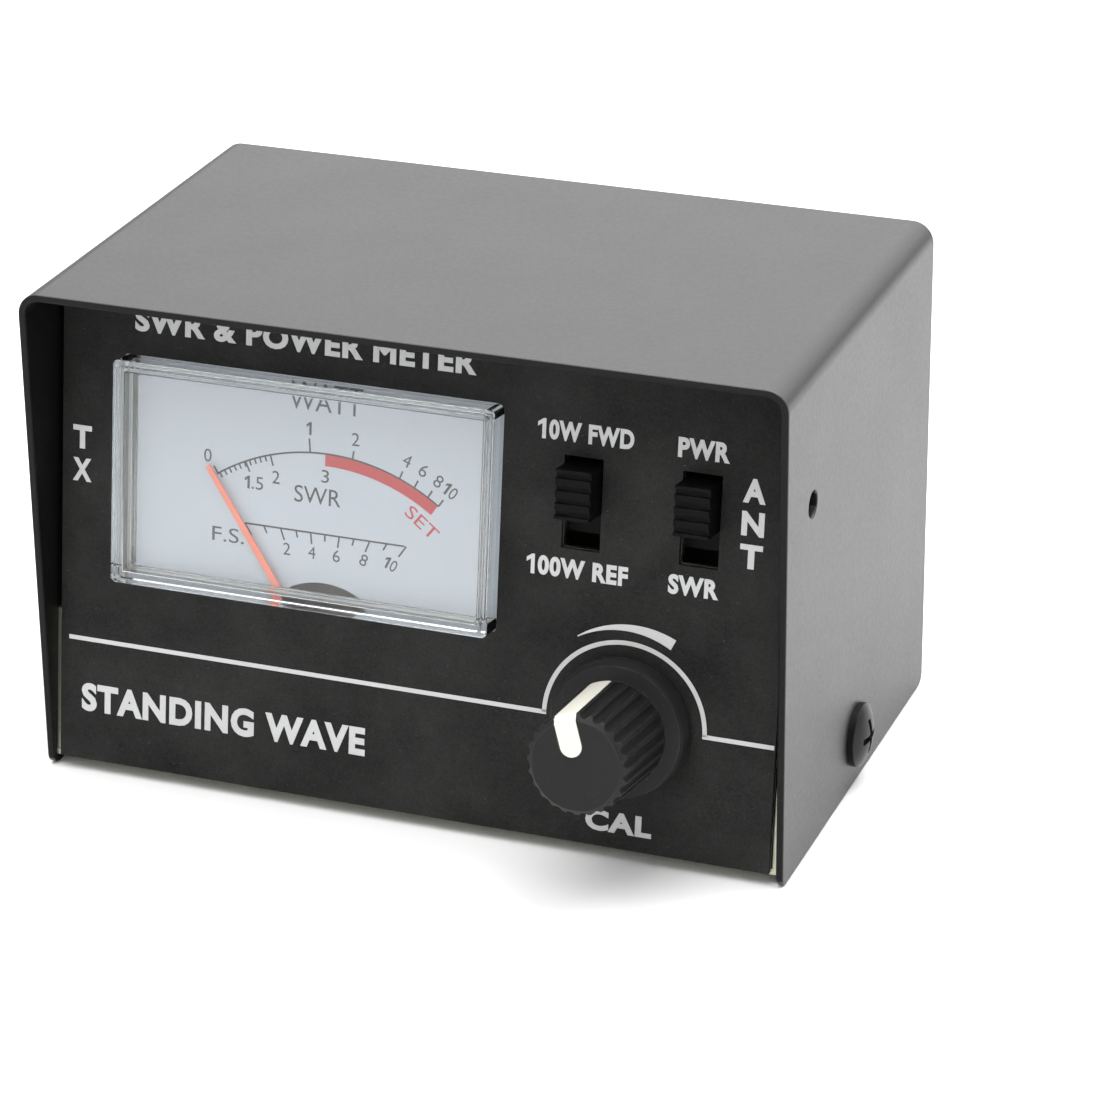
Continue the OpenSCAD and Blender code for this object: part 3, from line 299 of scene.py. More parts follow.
def start_material(
        name: str) -> tuple[bpy.types.Material, NodeTree, bpy.types.Node, bpy.types.NodeSocket]:
    """Starts a material.

    Args:
        name: The material's name.

    Returns:
        The material, its wrapped tree, its shader and the Object coordinates.
    """
    material = bpy.data.materials.new(name)
    material.use_nodes = True
    tree = NodeTree(material.node_tree)
    shader = material.node_tree.nodes["Principled BSDF"]
    return material, tree, shader, tree.add("ShaderNodeTexCoord").outputs["Object"]


class Effects:
    """The node groups that several materials share."""

    def __init__(self) -> None:
        """Builds each group once."""
        self.edge_wear = self._edge_wear()
        self.handling = self._handling()

    def _edge_wear(self) -> bpy.types.NodeTree:
        """A mask of rubbed edges: where a widened normal leaves the true one, broken up by noise.

        Returns:
            The group's tree.
        """
        inputs = [("Vector", 0.0), ("Radius", 0.0004), ("Amount", 0.3)]
        tree, given, end = make_group("edge_wear", inputs, ["Mask"])
        bevel = tree.add("ShaderNodeBevel", {"Radius": given["Radius"]}, samples=4)
        true = tree.add("ShaderNodeNewGeometry")
        dot = tree.add("ShaderNodeVectorMath", {0: bevel.outputs[0], 1: true.outputs["Normal"]},
                       operation="DOT_PRODUCT")
        edge = tree.math("MULTIPLY", tree.math("SUBTRACT", 1.0, dot.outputs["Value"]), 6.0, clamp=True)
        broken = tree.above(tree.noise(given["Vector"], 1.7, 4.0), 0.35, 3.0, clamp=True)
        rubbed = tree.math("MULTIPLY", edge, broken)
        mask = tree.math("MULTIPLY", rubbed, given["Amount"], clamp=True)
        tree.fill(end, {"Mask": mask})
        return tree.tree

    def _handling(self) -> bpy.types.NodeTree:
        """Faint smudges and dust: broad patches that change the roughness, and a few fine specks.

        Returns:
            The group's tree.
        """
        tree, given, end = make_group("handling", [("Vector", 0.0)], ["Smudge", "Dust"])
        smudge = tree.above(tree.noise(given["Vector"], 14.0, 3.0), 0.5, 0.05)
        dust = tree.above(tree.noise(given["Vector"], 0.35, 1.0), 0.72, 6.0, clamp=True)
        tree.fill(end, {"Smudge": smudge, "Dust": dust})
        return tree.tree


class MaterialBook:
    """Makes each named material once."""

    def __init__(self) -> None:
        """Starts with the shared effects and no material."""
        self.effects = Effects()
        self.made: dict[str, bpy.types.Material] = {}

    def get(self, name: str) -> bpy.types.Material:
        """The material of that name, made on first use.

        Args:
            name: A key of FINISHES, or clear_plastic.

        Returns:
            The material.
        """
        if name not in self.made:
            clear = name == "clear_plastic"
            self.made[name] = self._clear(name) if clear else self._opaque(name, FINISHES[name])
        return self.made[name]

    def _structure(self, tree: NodeTree, place: bpy.types.NodeSocket,
                   finish: Finish) -> bpy.types.NodeSocket:
        """The height pattern of a finish, from 0 to 1.

        Args:
            tree: The material's tree.
            place: The Object coordinates.
            finish: The finish.

        Returns:
            The socket that holds the height.
        """
        if finish.pattern is Pattern.BRUSHED:
            long_way = tree.add("ShaderNodeMapping", {"Vector": place, "Scale": (1.0, 1.0, 0.06)})
            return tree.noise(long_way.outputs[0], finish.grain, 3.0)
        if finish.pattern is Pattern.PLATED:
            scale = 1.0 / (finish.grain * MM)
            cells = tree.add("ShaderNodeTexVoronoi", {"Vector": place, "Scale": scale})
            crystals = tree.math("MULTIPLY", cells.outputs["Distance"], 0.5)
            return tree.math("ADD", crystals, tree.math("MULTIPLY", tree.noise(place, 0.3, 3.0), 0.5))
        if finish.pattern is Pattern.WOUND:
            values = {"Vector": place, "Scale": 0.16 / (finish.grain * MM)}
            turns = tree.add("ShaderNodeTexWave", values, bands_direction="DIAGONAL")
            return turns.outputs["Fac"]
        if finish.pattern is Pattern.FINE_GRAIN:
            sand = tree.math("MULTIPLY", tree.noise(place, finish.grain, 1.0), 0.75)
            pits = tree.math("MULTIPLY", tree.noise(place, finish.grain * 3.1, 2.0), 0.25)
            return tree.math("ADD", sand, pits)
        if finish.pattern is Pattern.LAMINATE:
            weave = tree.add("ShaderNodeMapping", {"Vector": place, "Scale": (1.0, 1.0, 0.35)})
            return tree.noise(weave.outputs[0], finish.grain, 4.0)
        detail = 1.0 if finish.pattern is Pattern.POWDER_COAT else 3.0
        return tree.noise(place, finish.grain, detail)

    def _opaque(self, name: str, finish: Finish) -> bpy.types.Material:
        """A solid material with structure, drift in colour, smudges and rubbed edges.

        Args:
            name: The material's name.
            finish: What it looks like.

        Returns:
            The material.
        """
        material, tree, shader, place = start_material(name)
        height = self._structure(tree, place, finish)
        patches = tree.noise(place, 9.0, 3.0)
        uneven = tree.math("ADD", height, tree.math("SUBTRACT", patches, 0.5))
        blend = tree.math("MULTIPLY", uneven, finish.drift, clamp=True)
        colour = tree.mix(blend, finish.colour, finish.shade)
        handling = tree.add("ShaderNodeGroup", {"Vector": place}, node_tree=self.effects.handling)
        smudged = tree.math("ADD", finish.roughness, handling.outputs["Smudge"])
        rough = tree.math("ADD", smudged, tree.above(height, 0.5, 0.12), clamp=True)
        if finish.wear > 0:
            rubbed = {"Vector": place, "Amount": finish.wear}
            wear = tree.add("ShaderNodeGroup", rubbed, node_tree=self.effects.edge_wear)
            colour = tree.mix(wear.outputs["Mask"], colour, finish.worn)
        dusty = tree.math("MULTIPLY", handling.outputs["Dust"], 0.05 if finish.metallic else 0.09)
        colour = tree.mix(dusty, colour, grey(0.5))
        depth = finish.relief * MM
        bump = tree.add("ShaderNodeBump", {"Height": height, "Distance": depth, "Strength": 1.0})
        tree.fill(shader, {
            "Base Color": colour, "Roughness": rough, "Normal": bump.outputs[0],
            "Metallic": finish.metallic, "Specular IOR Level": finish.specular,
            "Coat Weight": finish.coat, "Coat Roughness": 0.12,
        })
        return material

    def _clear(self, name: str) -> bpy.types.Material:
        """Clear plastic that lets light through to what is behind it.

        Args:
            name: The material's name.

        Returns:
            The material.
        """
        material, tree, shader, place = start_material(name)
        streaks = {"Vector": place, "Scale": (0.15, 1.0, 1.0), "Rotation": (0, 0.5, 0)}
        scratches = tree.add("ShaderNodeMapping", streaks)
        rough = tree.above(tree.noise(scratches.outputs[0], 1.5, 1.0), 0.3, 0.05, clamp=True)
        tree.fill(shader, {"Roughness": rough, "Base Color": (0.97, 0.985, 0.99, 1.0),
                           "Transmission Weight": 1.0, "IOR": 1.49})
        clear = tree.add("ShaderNodeBsdfTransparent", {"Color": (0.96, 0.97, 0.97, 1.0)})
        path = tree.add("ShaderNodeLightPath")
        unseen = tree.math("MAXIMUM", path.outputs["Is Shadow Ray"], path.outputs["Is Diffuse Ray"])
        both = {0: unseen, 1: shader.outputs[0], 2: clear.outputs[0]}
        mixed = tree.add("ShaderNodeMixShader", both)
        tree.fill(material.node_tree.nodes["Material Output"], {"Surface": mixed.outputs[0]})
        return material


# ---- Surfaces ----------------------------------------------------------------------------------


@dataclass(frozen=True)
class Plane:
    """A flat frame in space, in millimetres.

    Attributes:
        origin: Where u, v and n are 0.
        right: Direction of u.
        up: Direction of v.
        out: Direction of n, away from the object.
    """

    origin: np.ndarray
    right: np.ndarray
    up: np.ndarray
    out: np.ndarray

    def place(self, u: object, v: object, n: object) -> np.ndarray:
        """The point origin + u right + v up + n out, for arrays of one shape.

        Args:
            u: Distance to the right.
            v: Distance up.
            n: Distance outwards.

        Returns:
            An array with one more axis, of length 3.
        """
        across, along, away = (part[..., None] for part in np.broadcast_arrays(
            np.asarray(u, float), np.asarray(v, float), np.asarray(n, float)))
        return self.origin + across * self.right + along * self.up + away * self.out

    def moved(self, u: float = 0.0, v: float = 0.0, n: float = 0.0) -> "Plane":
        """The same plane with its origin at another point."""
        return Plane(self.place(u, v, n), self.right, self.up, self.out)

    def turned(self, degrees: float) -> "Plane":
        """The same plane turned clockwise about its normal, as seen from outside.

        Args:
            degrees: How far it turns.

        Returns:
            The turned plane.
        """
        c, s = math.cos(math.radians(degrees)), math.sin(math.radians(degrees))
        right, up = c * self.right - s * self.up, s * self.right + c * self.up
        return Plane(self.origin, right, up, self.out)


class Piece:
    """Collects closed shells into one mesh object."""

    def __init__(self, name: str) -> None:
        """Starts an empty piece.

        Args:
            name: The object's name.
        """
        self.name = name
        self.points: list[np.ndarray] = []
        self.faces: list[Sequence[int]] = []
        self.count = 0

    def add(self, points: np.ndarray, faces: Iterable[Sequence[int]]) -> None:
        """Adds loose points and faces.

        Args:
            points: Array (..., 3) in millimetres.
            faces: Indices into points.
        """
        self.points.append(points.reshape(-1, 3))
        self.faces.extend([i + self.count for i in face] for face in faces)
        self.count += len(self.points[-1])

    def add_rings(self, rings: np.ndarray, closed: bool) -> None:
        """Adds a closed shell through a row of rings.

        Args:
            rings: Array (a, b, 3) in millimetres: a rings of b points.
            closed: Whether the last ring joins the first. If not, a flat face closes each end.
        """
        a, b = rings.shape[:2]
        i = np.arange(a if closed else a - 1)[:, None]
        j = np.arange(b)[None, :]
        ahead, beside = (i + 1) % a, (j + 1) % b
        around = np.broadcast_arrays(i * b + j, ahead * b + j, ahead * b + beside, i * b + beside)
        faces = np.stack(around, -1).reshape(-1, 4).tolist()
        if not closed:
            faces += [list(range(b)), list(range((a - 1) * b, a * b))[::-1]]
        self.add(rings, faces)

    def finish(self, material: bpy.types.Material, slot: str) -> bpy.types.Object:
        """Makes the object, turns its faces outwards and lets it ride on the case.

        Args:
            material: What it is made of.
            slot: The record's material slot; not used.

        Returns:
            The object.
        """
        mesh = bpy.data.meshes.new(self.name)
        mesh.from_pydata((np.concatenate(self.points) * MM).tolist(), [], self.faces)
        mesh.materials.append(material)
        work = bmesh.new()
        work.from_mesh(mesh)
        bmesh.ops.remove_doubles(work, verts=work.verts, dist=1e-7)
        bmesh.ops.recalc_face_normals(work, faces=work.faces)
        work.to_mesh(mesh)
        work.free()
        return finish_object(self.name, mesh, "root", PIECE_CREASE, 0.0)


def finish_object(name: str, mesh: bpy.types.Mesh, body: str, crease: float,
                  bevel: float) -> bpy.types.Object:
    """Puts a mesh in the scene with smooth faces, sharp creases and a small rounding.

    Args:
        name: The object's name.
        mesh: The mesh, in metres.
        body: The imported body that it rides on.
        crease: Edges sharper than this many degrees stay sharp.
        bevel: Width in millimetres of the rounding, or 0.

    Returns:
        The object.
    """
    mesh.polygons.foreach_set("use_smooth", np.ones(len(mesh.polygons), bool))
    mesh.set_sharp_from_angle(angle=math.radians(crease))
    made = bpy.data.objects.new(name, mesh)
    bpy.context.scene.collection.objects.link(made)
    if bevel > 0:
        rounding = made.modifiers.new("rounding", "BEVEL")
        rounding.width = bevel * MM
        rounding.segments = 2
        rounding.limit_method = "ANGLE"
        rounding.angle_limit = math.radians(crease)
        rounding.use_clamp_overlap = True
        flat = made.modifiers.new("flat_faces", "WEIGHTED_NORMAL")
        flat.keep_sharp = True
    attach(made, body)
    LOG.info("%s: %d faces on %s", name, len(mesh.polygons), body)
    return made


def polar(radius: object, degrees: object) -> tuple[np.ndarray, np.ndarray]:
    """u and v of points at an angle measured clockwise from upright."""
    angle = np.radians(np.asarray(degrees, float))
    return np.asarray(radius) * np.sin(angle), np.asarray(radius) * np.cos(angle)


def coordinates(mesh: bpy.types.Mesh) -> np.ndarray:
    """A mesh's points.

    Args:
        mesh: The mesh.

    Returns:
        An array (k, 3), in the mesh's own units.
    """
    points = np.empty(len(mesh.vertices) * 3)
    mesh.vertices.foreach_get("co", points)
    return points.reshape(-1, 3)


# A figure 1 as wide as this share of its height, and the gap after it.
ONE_WIDTH = 0.42
ONE_GAP = 0.16
ONE_OUTLINE = ((0.5, -0.5), (0.5, 0.5), (0.18, 0.5), (-0.5, 0.3), (-0.5, 0.08), (0.04, 0.24),
               (0.04, -0.5))


def figure_one(cap: float, height: float) -> tuple[np.ndarray, list[list[int]]]:
    """A raised 1 with a flag: its outline as a low ring and a high one.

    Args:
        cap: Its height as a capital.
        height: How far it is raised.

    Returns:
        Its points and faces.
    """
    flat = np.array(ONE_OUTLINE) * (cap * ONE_WIDTH, cap)
    count = len(flat)
    points = np.concatenate([np.c_[flat, np.zeros(count)], np.c_[flat, np.full(count, height)]])
    sides = [[i, (i + 1) % count, (i + 1) % count + count, i + count] for i in range(count)]
    return points, [list(range(count))[::-1], list(range(count, 2 * count)), *sides]


def raised_letters(words: str, bold: float) -> tuple[np.ndarray, list[list[int]]]:
    """Plain sans-serif letters, scaled to a box of width 1 about the origin.

    Args:
        words: The characters.
        bold: Extra stroke thickness, as a share of the font's size.

    Returns:
        Their points and faces.
    """
    curve = bpy.data.curves.new("letters", "FONT")
    curve.body = words
    curve.bevel_depth = bold
    curve.space_character = 1 + 2.4 * bold
    curve.bevel_resolution = 0
    curve.extrude = 0.1
    curve.resolution_u = 4
    holder = bpy.data.objects.new("letters", curve)
    bpy.context.scene.collection.objects.link(holder)
    bpy.context.view_layer.update()
    shaped = holder.evaluated_get(bpy.context.evaluated_depsgraph_get())
    mesh = bpy.data.meshes.new_from_object(shaped)
    points = coordinates(mesh)
    faces = [list(face.vertices) for face in mesh.polygons]
    bpy.data.objects.remove(holder)
    bpy.data.curves.remove(curve)
    bpy.data.meshes.remove(mesh)
    lowest, highest = points.min(0), points.max(0)
    return (points - (lowest + highest) / 2) / np.maximum(highest - lowest, 1e-9), faces


@dataclass(frozen=True)
class Ink:
    """Prints bands and letters on a plane.

    Attributes:
        piece: The piece that takes the print.
        plane: The frame that it lies in.
        height: Thickness of the ink.
        bold: Extra stroke thickness of letters, as a share of the font's size.
    """

    piece: Piece
    plane: Plane
    height: float
    bold: float = 0.0

    def band(self, u: np.ndarray, v: np.ndarray, width: object) -> None:
        """A flat band: the path (u, v) moved sideways by half its width each way.

        Args:
            u: Path points to the right.
            v: Path points up.
            width: One width, or one for each point.
        """
        du, dv = np.gradient(u), np.gradient(v)
        length = np.hypot(du, dv)
        side_u, side_v = -dv / length, du / length
        half = np.broadcast_to(np.asarray(width, float) / 2, u.shape)
        left = (u + half * side_u, v + half * side_v)
        right = (u - half * side_u, v - half * side_v)
        edges = ((left, 0.0), (right, 0.0), (right, self.height), (left, self.height))
        rows = [self.plane.place(*edge, height) for edge, height in edges]
        self.piece.add_rings(np.stack(rows, 1), closed=False)

    def arc(self, radius: object, start: float, end: float, width: object, steps: int = 72) -> None:
        """A band whose angle, radius and width go evenly from their first value to their last.

        It runs about the plane's origin, by clockwise angles from upright.

        Args:
            radius: One radius, or a first and a last one.
            start: First angle in degrees.
            end: Last angle in degrees.
            width: One width, or a first and a last one.
            steps: Number of points.
        """
        share = np.linspace(0, 1, steps)
        radii = np.interp(share, [0, 1], np.broadcast_to(radius, 2))
        widths = np.interp(share, [0, 1], np.broadcast_to(width, 2))
        self.band(*polar(radii, start + share * (end - start)), widths)

    def text(self, words: str, centre: tuple[float, float], cap: float, width: float,
             turn: float = 0.0) -> None:
        """Letters or figures, fitted to a height and a width.

        Args:
            words: The characters.
            centre: u and v of the middle.
            cap: Height of the capitals.
            width: Width of the whole text.
            turn: Clockwise turn in degrees.
        """
        spot = self.plane.moved(*centre).turned(turn)
        if not words.startswith("1"):
            points, faces = raised_letters(words, self.bold)
            rise = np.where(points[:, 2] > 0, self.height, 0.0)
            self.piece.add(spot.place(points[:, 0] * width, points[:, 1] * cap, rise), faces)
            return
        points, faces = figure_one(cap, self.height)
        left = (cap * ONE_WIDTH - width) / 2
        self.piece.add(spot.place(points[:, 0] + left, points[:, 1], points[:, 2]), faces)
        if len(words) > 1:
            step = cap * (ONE_WIDTH + ONE_GAP)
            angle = math.radians(turn)
            rest = (centre[0] + step / 2 * math.cos(angle), centre[1] - step / 2 * math.sin(angle))
            self.text(words[1:], rest, cap, width - step, turn)


def rounded_square(width: float, radius: float, steps: int = 12) -> tuple[np.ndarray, np.ndarray]:
    """A closed square outline, anticlockwise: four quarter circles about the middles of its corners.

    Args:
        width: Full width.
        radius: Corner radius.
        steps: Points on each corner.

    Returns:
        The outline's two coordinates.
    """
    turn = np.linspace(0, math.pi / 2, steps)[None, :] + np.arange(4)[:, None] * math.pi / 2
    middle = np.array([[1, 1], [-1, 1], [-1, -1], [1, -1]]) * (width / 2 - radius)
    x, y = middle[:, :1] + radius * np.cos(turn), middle[:, 1:] + radius * np.sin(turn)
    return x.ravel(), y.ravel()


def softened(frame: dict, node: str, finish: str, book: MaterialBook, edge: float,
             inner: str = "") -> None:
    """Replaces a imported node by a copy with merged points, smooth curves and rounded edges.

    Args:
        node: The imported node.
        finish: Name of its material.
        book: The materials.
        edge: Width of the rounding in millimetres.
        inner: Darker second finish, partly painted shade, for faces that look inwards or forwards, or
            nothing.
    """
    source = frame["nodes"][node]
    work = bmesh.new()
    work.from_mesh(source.data)
    bmesh.ops.remove_doubles(work, verts=work.verts, dist=1e-6)
    bmesh.ops.dissolve_limit(work, angle_limit=math.radians(0.4), verts=work.verts, edges=work.edges)
    mesh = bpy.data.meshes.new(node + "_shape")
    work.to_mesh(mesh)
    work.free()
    for layer in [a.name for a in mesh.attributes if a.name == "custom_normal"]:
        mesh.attributes.remove(mesh.attributes[layer])
    mesh.materials.clear()
    mesh.materials.append(book.get(finish))
    slots = np.zeros(len(mesh.polygons), np.int32)
    if inner:
        mesh.materials.append(book.get(inner))
        middle = sum(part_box(node), Vector()) / 2
        # Inward faces and forward-facing edges take the darker finish: partly a matte inner finish,
        # partly painted shade.
        for face in mesh.polygons:
            slots[face.index] = face.normal.dot(face.center - middle) < 0 or face.normal.y < -0.9
    mesh.polygons.foreach_set("material_index", slots)
    made = finish_object(node + "_shape", mesh, source["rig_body"], NODE_CREASE, edge)
    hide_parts(node)


# ---- The front panel's frame -------------------------------------------------------------------


def front_plane(frame: dict) -> tuple[Plane, float]:
    """The panel's frame, from the direction in which the switches slide and the panel's own box.


    Returns:
        The plane with its origin at the middle of the panel's lower edge, and the panel's height.
    """
    slide = next(j for j in frame["joints"] if j["name"] == "range_switch_slide")
    up = -np.array(slide["axis"], float)
    up /= np.linalg.norm(up)
    right = np.array([1.0, 0.0, 0.0])
    out = np.cross(right, up)
    low, high = (np.array(corner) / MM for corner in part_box("front_panel"))
    sin, cos = up[1], up[2]
    depth, rise = high[1] - low[1], high[2] - low[2]
    height = (rise * cos - depth * sin) / (cos * cos - sin * sin)
    thickness = (depth * cos - rise * sin) / (cos * cos - sin * sin)
    origin = np.array([(low[0] + high[0]) / 2, low[1], low[2] + thickness * sin])
    return Plane(origin, right, up, out), height


def on_plane(plane: Plane, node: str) -> tuple[np.ndarray, np.ndarray]:
    """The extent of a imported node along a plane's own directions.

    Args:
        plane: The plane.
        node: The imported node.

    Returns:
        The lowest and the highest u, v and n of the node's points.
    """
    away = coordinates(bpy.data.objects[node].data) / MM - plane.origin
    local = away @ np.stack([plane.right, plane.up, plane.out], 1)
    return local.min(0), local.max(0)


# ---- Sub-assemblies ----------------------------------------------------------------------------


@dataclass
class Assembly:
    """What every sub-assembly starts from.

    Attributes:
        book: The materials.
        plane: The front panel's frame.
    """

    frame: dict
    book: MaterialBook
    plane: Plane

    def soften(self, finish: str, *nodes: str, edge: float = 0.12) -> None:
        """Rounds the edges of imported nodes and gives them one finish.

        Args:
            finish: Name of the finish, which is also the record's slot.
            *nodes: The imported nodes.
            edge: Width of the rounding in millimetres.
        """
        for node in nodes:
            softened(self.frame, node, finish, self.book, edge)

    def dress(self, finish: str, *nodes: str) -> None:
        """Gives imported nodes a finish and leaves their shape.

        Args:
            finish: Name of the finish.
            *nodes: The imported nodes.
        """
        for node in nodes:
            mesh = self.frame["nodes"][node].data
            mesh.materials.clear()
            mesh.materials.append(self.book.get(finish))
            LOG.info("%s: dressed in %s", node, finish)


@dataclass
class CoverCase(Assembly):
    """The folded sheet cover, the plated tray under it and the two cross-headed screws.

    Attributes:
        sheet_edge: Rounding of the painted sheet's edges.
        tray_edge: Rounding of the tray's edges.
        screw_edge: Rounding of the screw heads' recesses.
    """

    sheet_edge: float = 0.22
    tray_edge: float = 0.12
    screw_edge: float = 0.08

    def build(self) -> None:
        """Makes the cover, the tray and the screws."""
        # The inner faces and front edges take a darker copy of the paint, partly painted shade.
        softened(self.frame, "cover", "cover_paint", self.book, self.sheet_edge, inner="cover_inside_and_painted_shade")
        self.soften("plated_steel", "chassis", edge=self.tray_edge)
        self.soften("black_screw", "cover_screws", edge=self.screw_edge)


# Text, its middle, the height of its capitals and its width.
PANEL_WORDS = (
    ("SWR & POWER METER", (-16.05, 62.05), 3.1, 48.1),
    ("10W FWD", (23.1, 54.85), 2.65, 13.0),
    ("100W REF", (22.7, 36.8), 2.65, 13.8),
    ("PWR", (38.9, 54.8), 2.65, 6.9),
    ("SWR", (38.4, 36.8), 2.65, 6.75),
    ("CAL", (29.9, 3.55), 2.9, 9.1),
    ("STANDING WAVE", (-26.6, 8.9), 4.0, 41.5),
)

# Text, u of its column, the heights of its letters and their width.
STACKED_WORDS = (("TX", -47.6, (45.1, 40.6), 2.75), ("ANT", 45.8, (50.4, 46.1, 41.8), 3.0))


@dataclass
class FrontPanel(Assembly):
    """The slanted front plate with its printed legends.

    Attributes:
        print_height: Thickness of the ink.
        stripe_v: Height of the thin stripe across the panel, and of the middle of the knob.
        stripe_w: Width of that stripe.
        knob_u: Middle of the knob.
        ring_r: Radius of the half ring over the knob.
        swell_r: First and last radius of the tapered arc over that ring.
        swell_w: First and last width of that arc.
        edge_gap: Bare stretch at the stripe's left end.
        end_gap: Bare stretch at its right end.
        bold: Extra stroke thickness of the legends, as a share of the font's size.
        stacked_cap: Height of the letters that stand one under another.
    """

    print_height: float = 0.02
    stripe_v: float = 17.1
    stripe_w: float = 0.6
    knob_u: float = 30.0
    ring_r: float = 10.95
    swell_r: tuple[float, float] = (12.85, 13.12)
    swell_w: tuple[float, float] = (0.15, 1.55)
    edge_gap: float = 1.2
    end_gap: float = 0.2
    bold: float = 0.045
    stacked_cap: float = 3.2

    def build(self) -> None:
        """Makes the plate and its print."""
        self.soften("panel_print", "front_panel", edge=0.1)
        self._stripe()
        self._legends()

    def _stripe(self) -> None:
        """The stripe, its half ring over the knob, and the tapered arc that stands for more signal."""
        ink = Ink(Piece("panel_stripe"), self.plane, self.print_height)
        low, high = on_plane(self.plane, "front_panel")
        left = (low[0] + self.edge_gap, self.knob_u - self.ring_r + self.stripe_w / 2)
        right = (self.knob_u + self.ring_r - self.stripe_w / 2, high[0] - self.end_gap)
        for ends in (left, right):
            ink.band(np.array(ends), np.full(2, self.stripe_v), self.stripe_w)
        knob = Ink(ink.piece, self.plane.moved(self.knob_u, self.stripe_v), self.print_height)
        knob.arc(self.ring_r, -90.0, 90.0, self.stripe_w)
        knob.arc(self.swell_r, -32.0, 28.0, self.swell_w, steps=40)
        ink.piece.finish(self.book.get("panel_ink"), "panel_print")

    def _legends(self) -> None:
        """The words beside the sockets, the switches, the knob and the meter."""
        ink = Ink(Piece("panel_legends"), self.plane, self.print_height, self.bold)
        for text, centre, cap, width in PANEL_WORDS:
            ink.text(text, centre, cap, width)
        for text, u, rows, width in STACKED_WORDS:
            for letter, v in zip(text, rows):
                ink.text(letter, (u, v), self.stacked_cap, width)
        ink.piece.finish(self.book.get("panel_ink"), "panel_print")


# Angles of the numbers on the upper scale, clockwise from upright.
POWER_ANGLES = {"0": -33.6, "1": -4.9, "2": 7.4, "4": 21.5, "6": 26.2, "8": 30.7, "10": 34.4}
RATIO_ANGLES = {"1.5": -24.4, "2": -16.7, "3": -0.4}

# Numbers on the lower scale, with their u and their turn.
LOWER_NUMBERS = (("2", -5.4, 0.0), ("4", -1.8, 0.0), ("6", 1.7, 0.0), ("8", 5.6, 20.0),
                 ("10", 9.4, 25.0))

# Text, its middle from the pivot, the height of its capitals and its width.
DIAL_WORDS = (
    ("SWR", (-1.2, 22.2), 2.3, 6.6),
    ("F.S.", (-13.9, 15.1), 2.0, 4.6),
    ("WATT", (-0.4, 34.85), 2.5, 10.2),
)

# Widths of narrow figures, and the gap between two, as shares of their height.
FIGURE_WIDTHS = {".": 0.28, "1": 0.38}
FIGURE_WIDTH = 0.62
FIGURE_GAP = 0.12


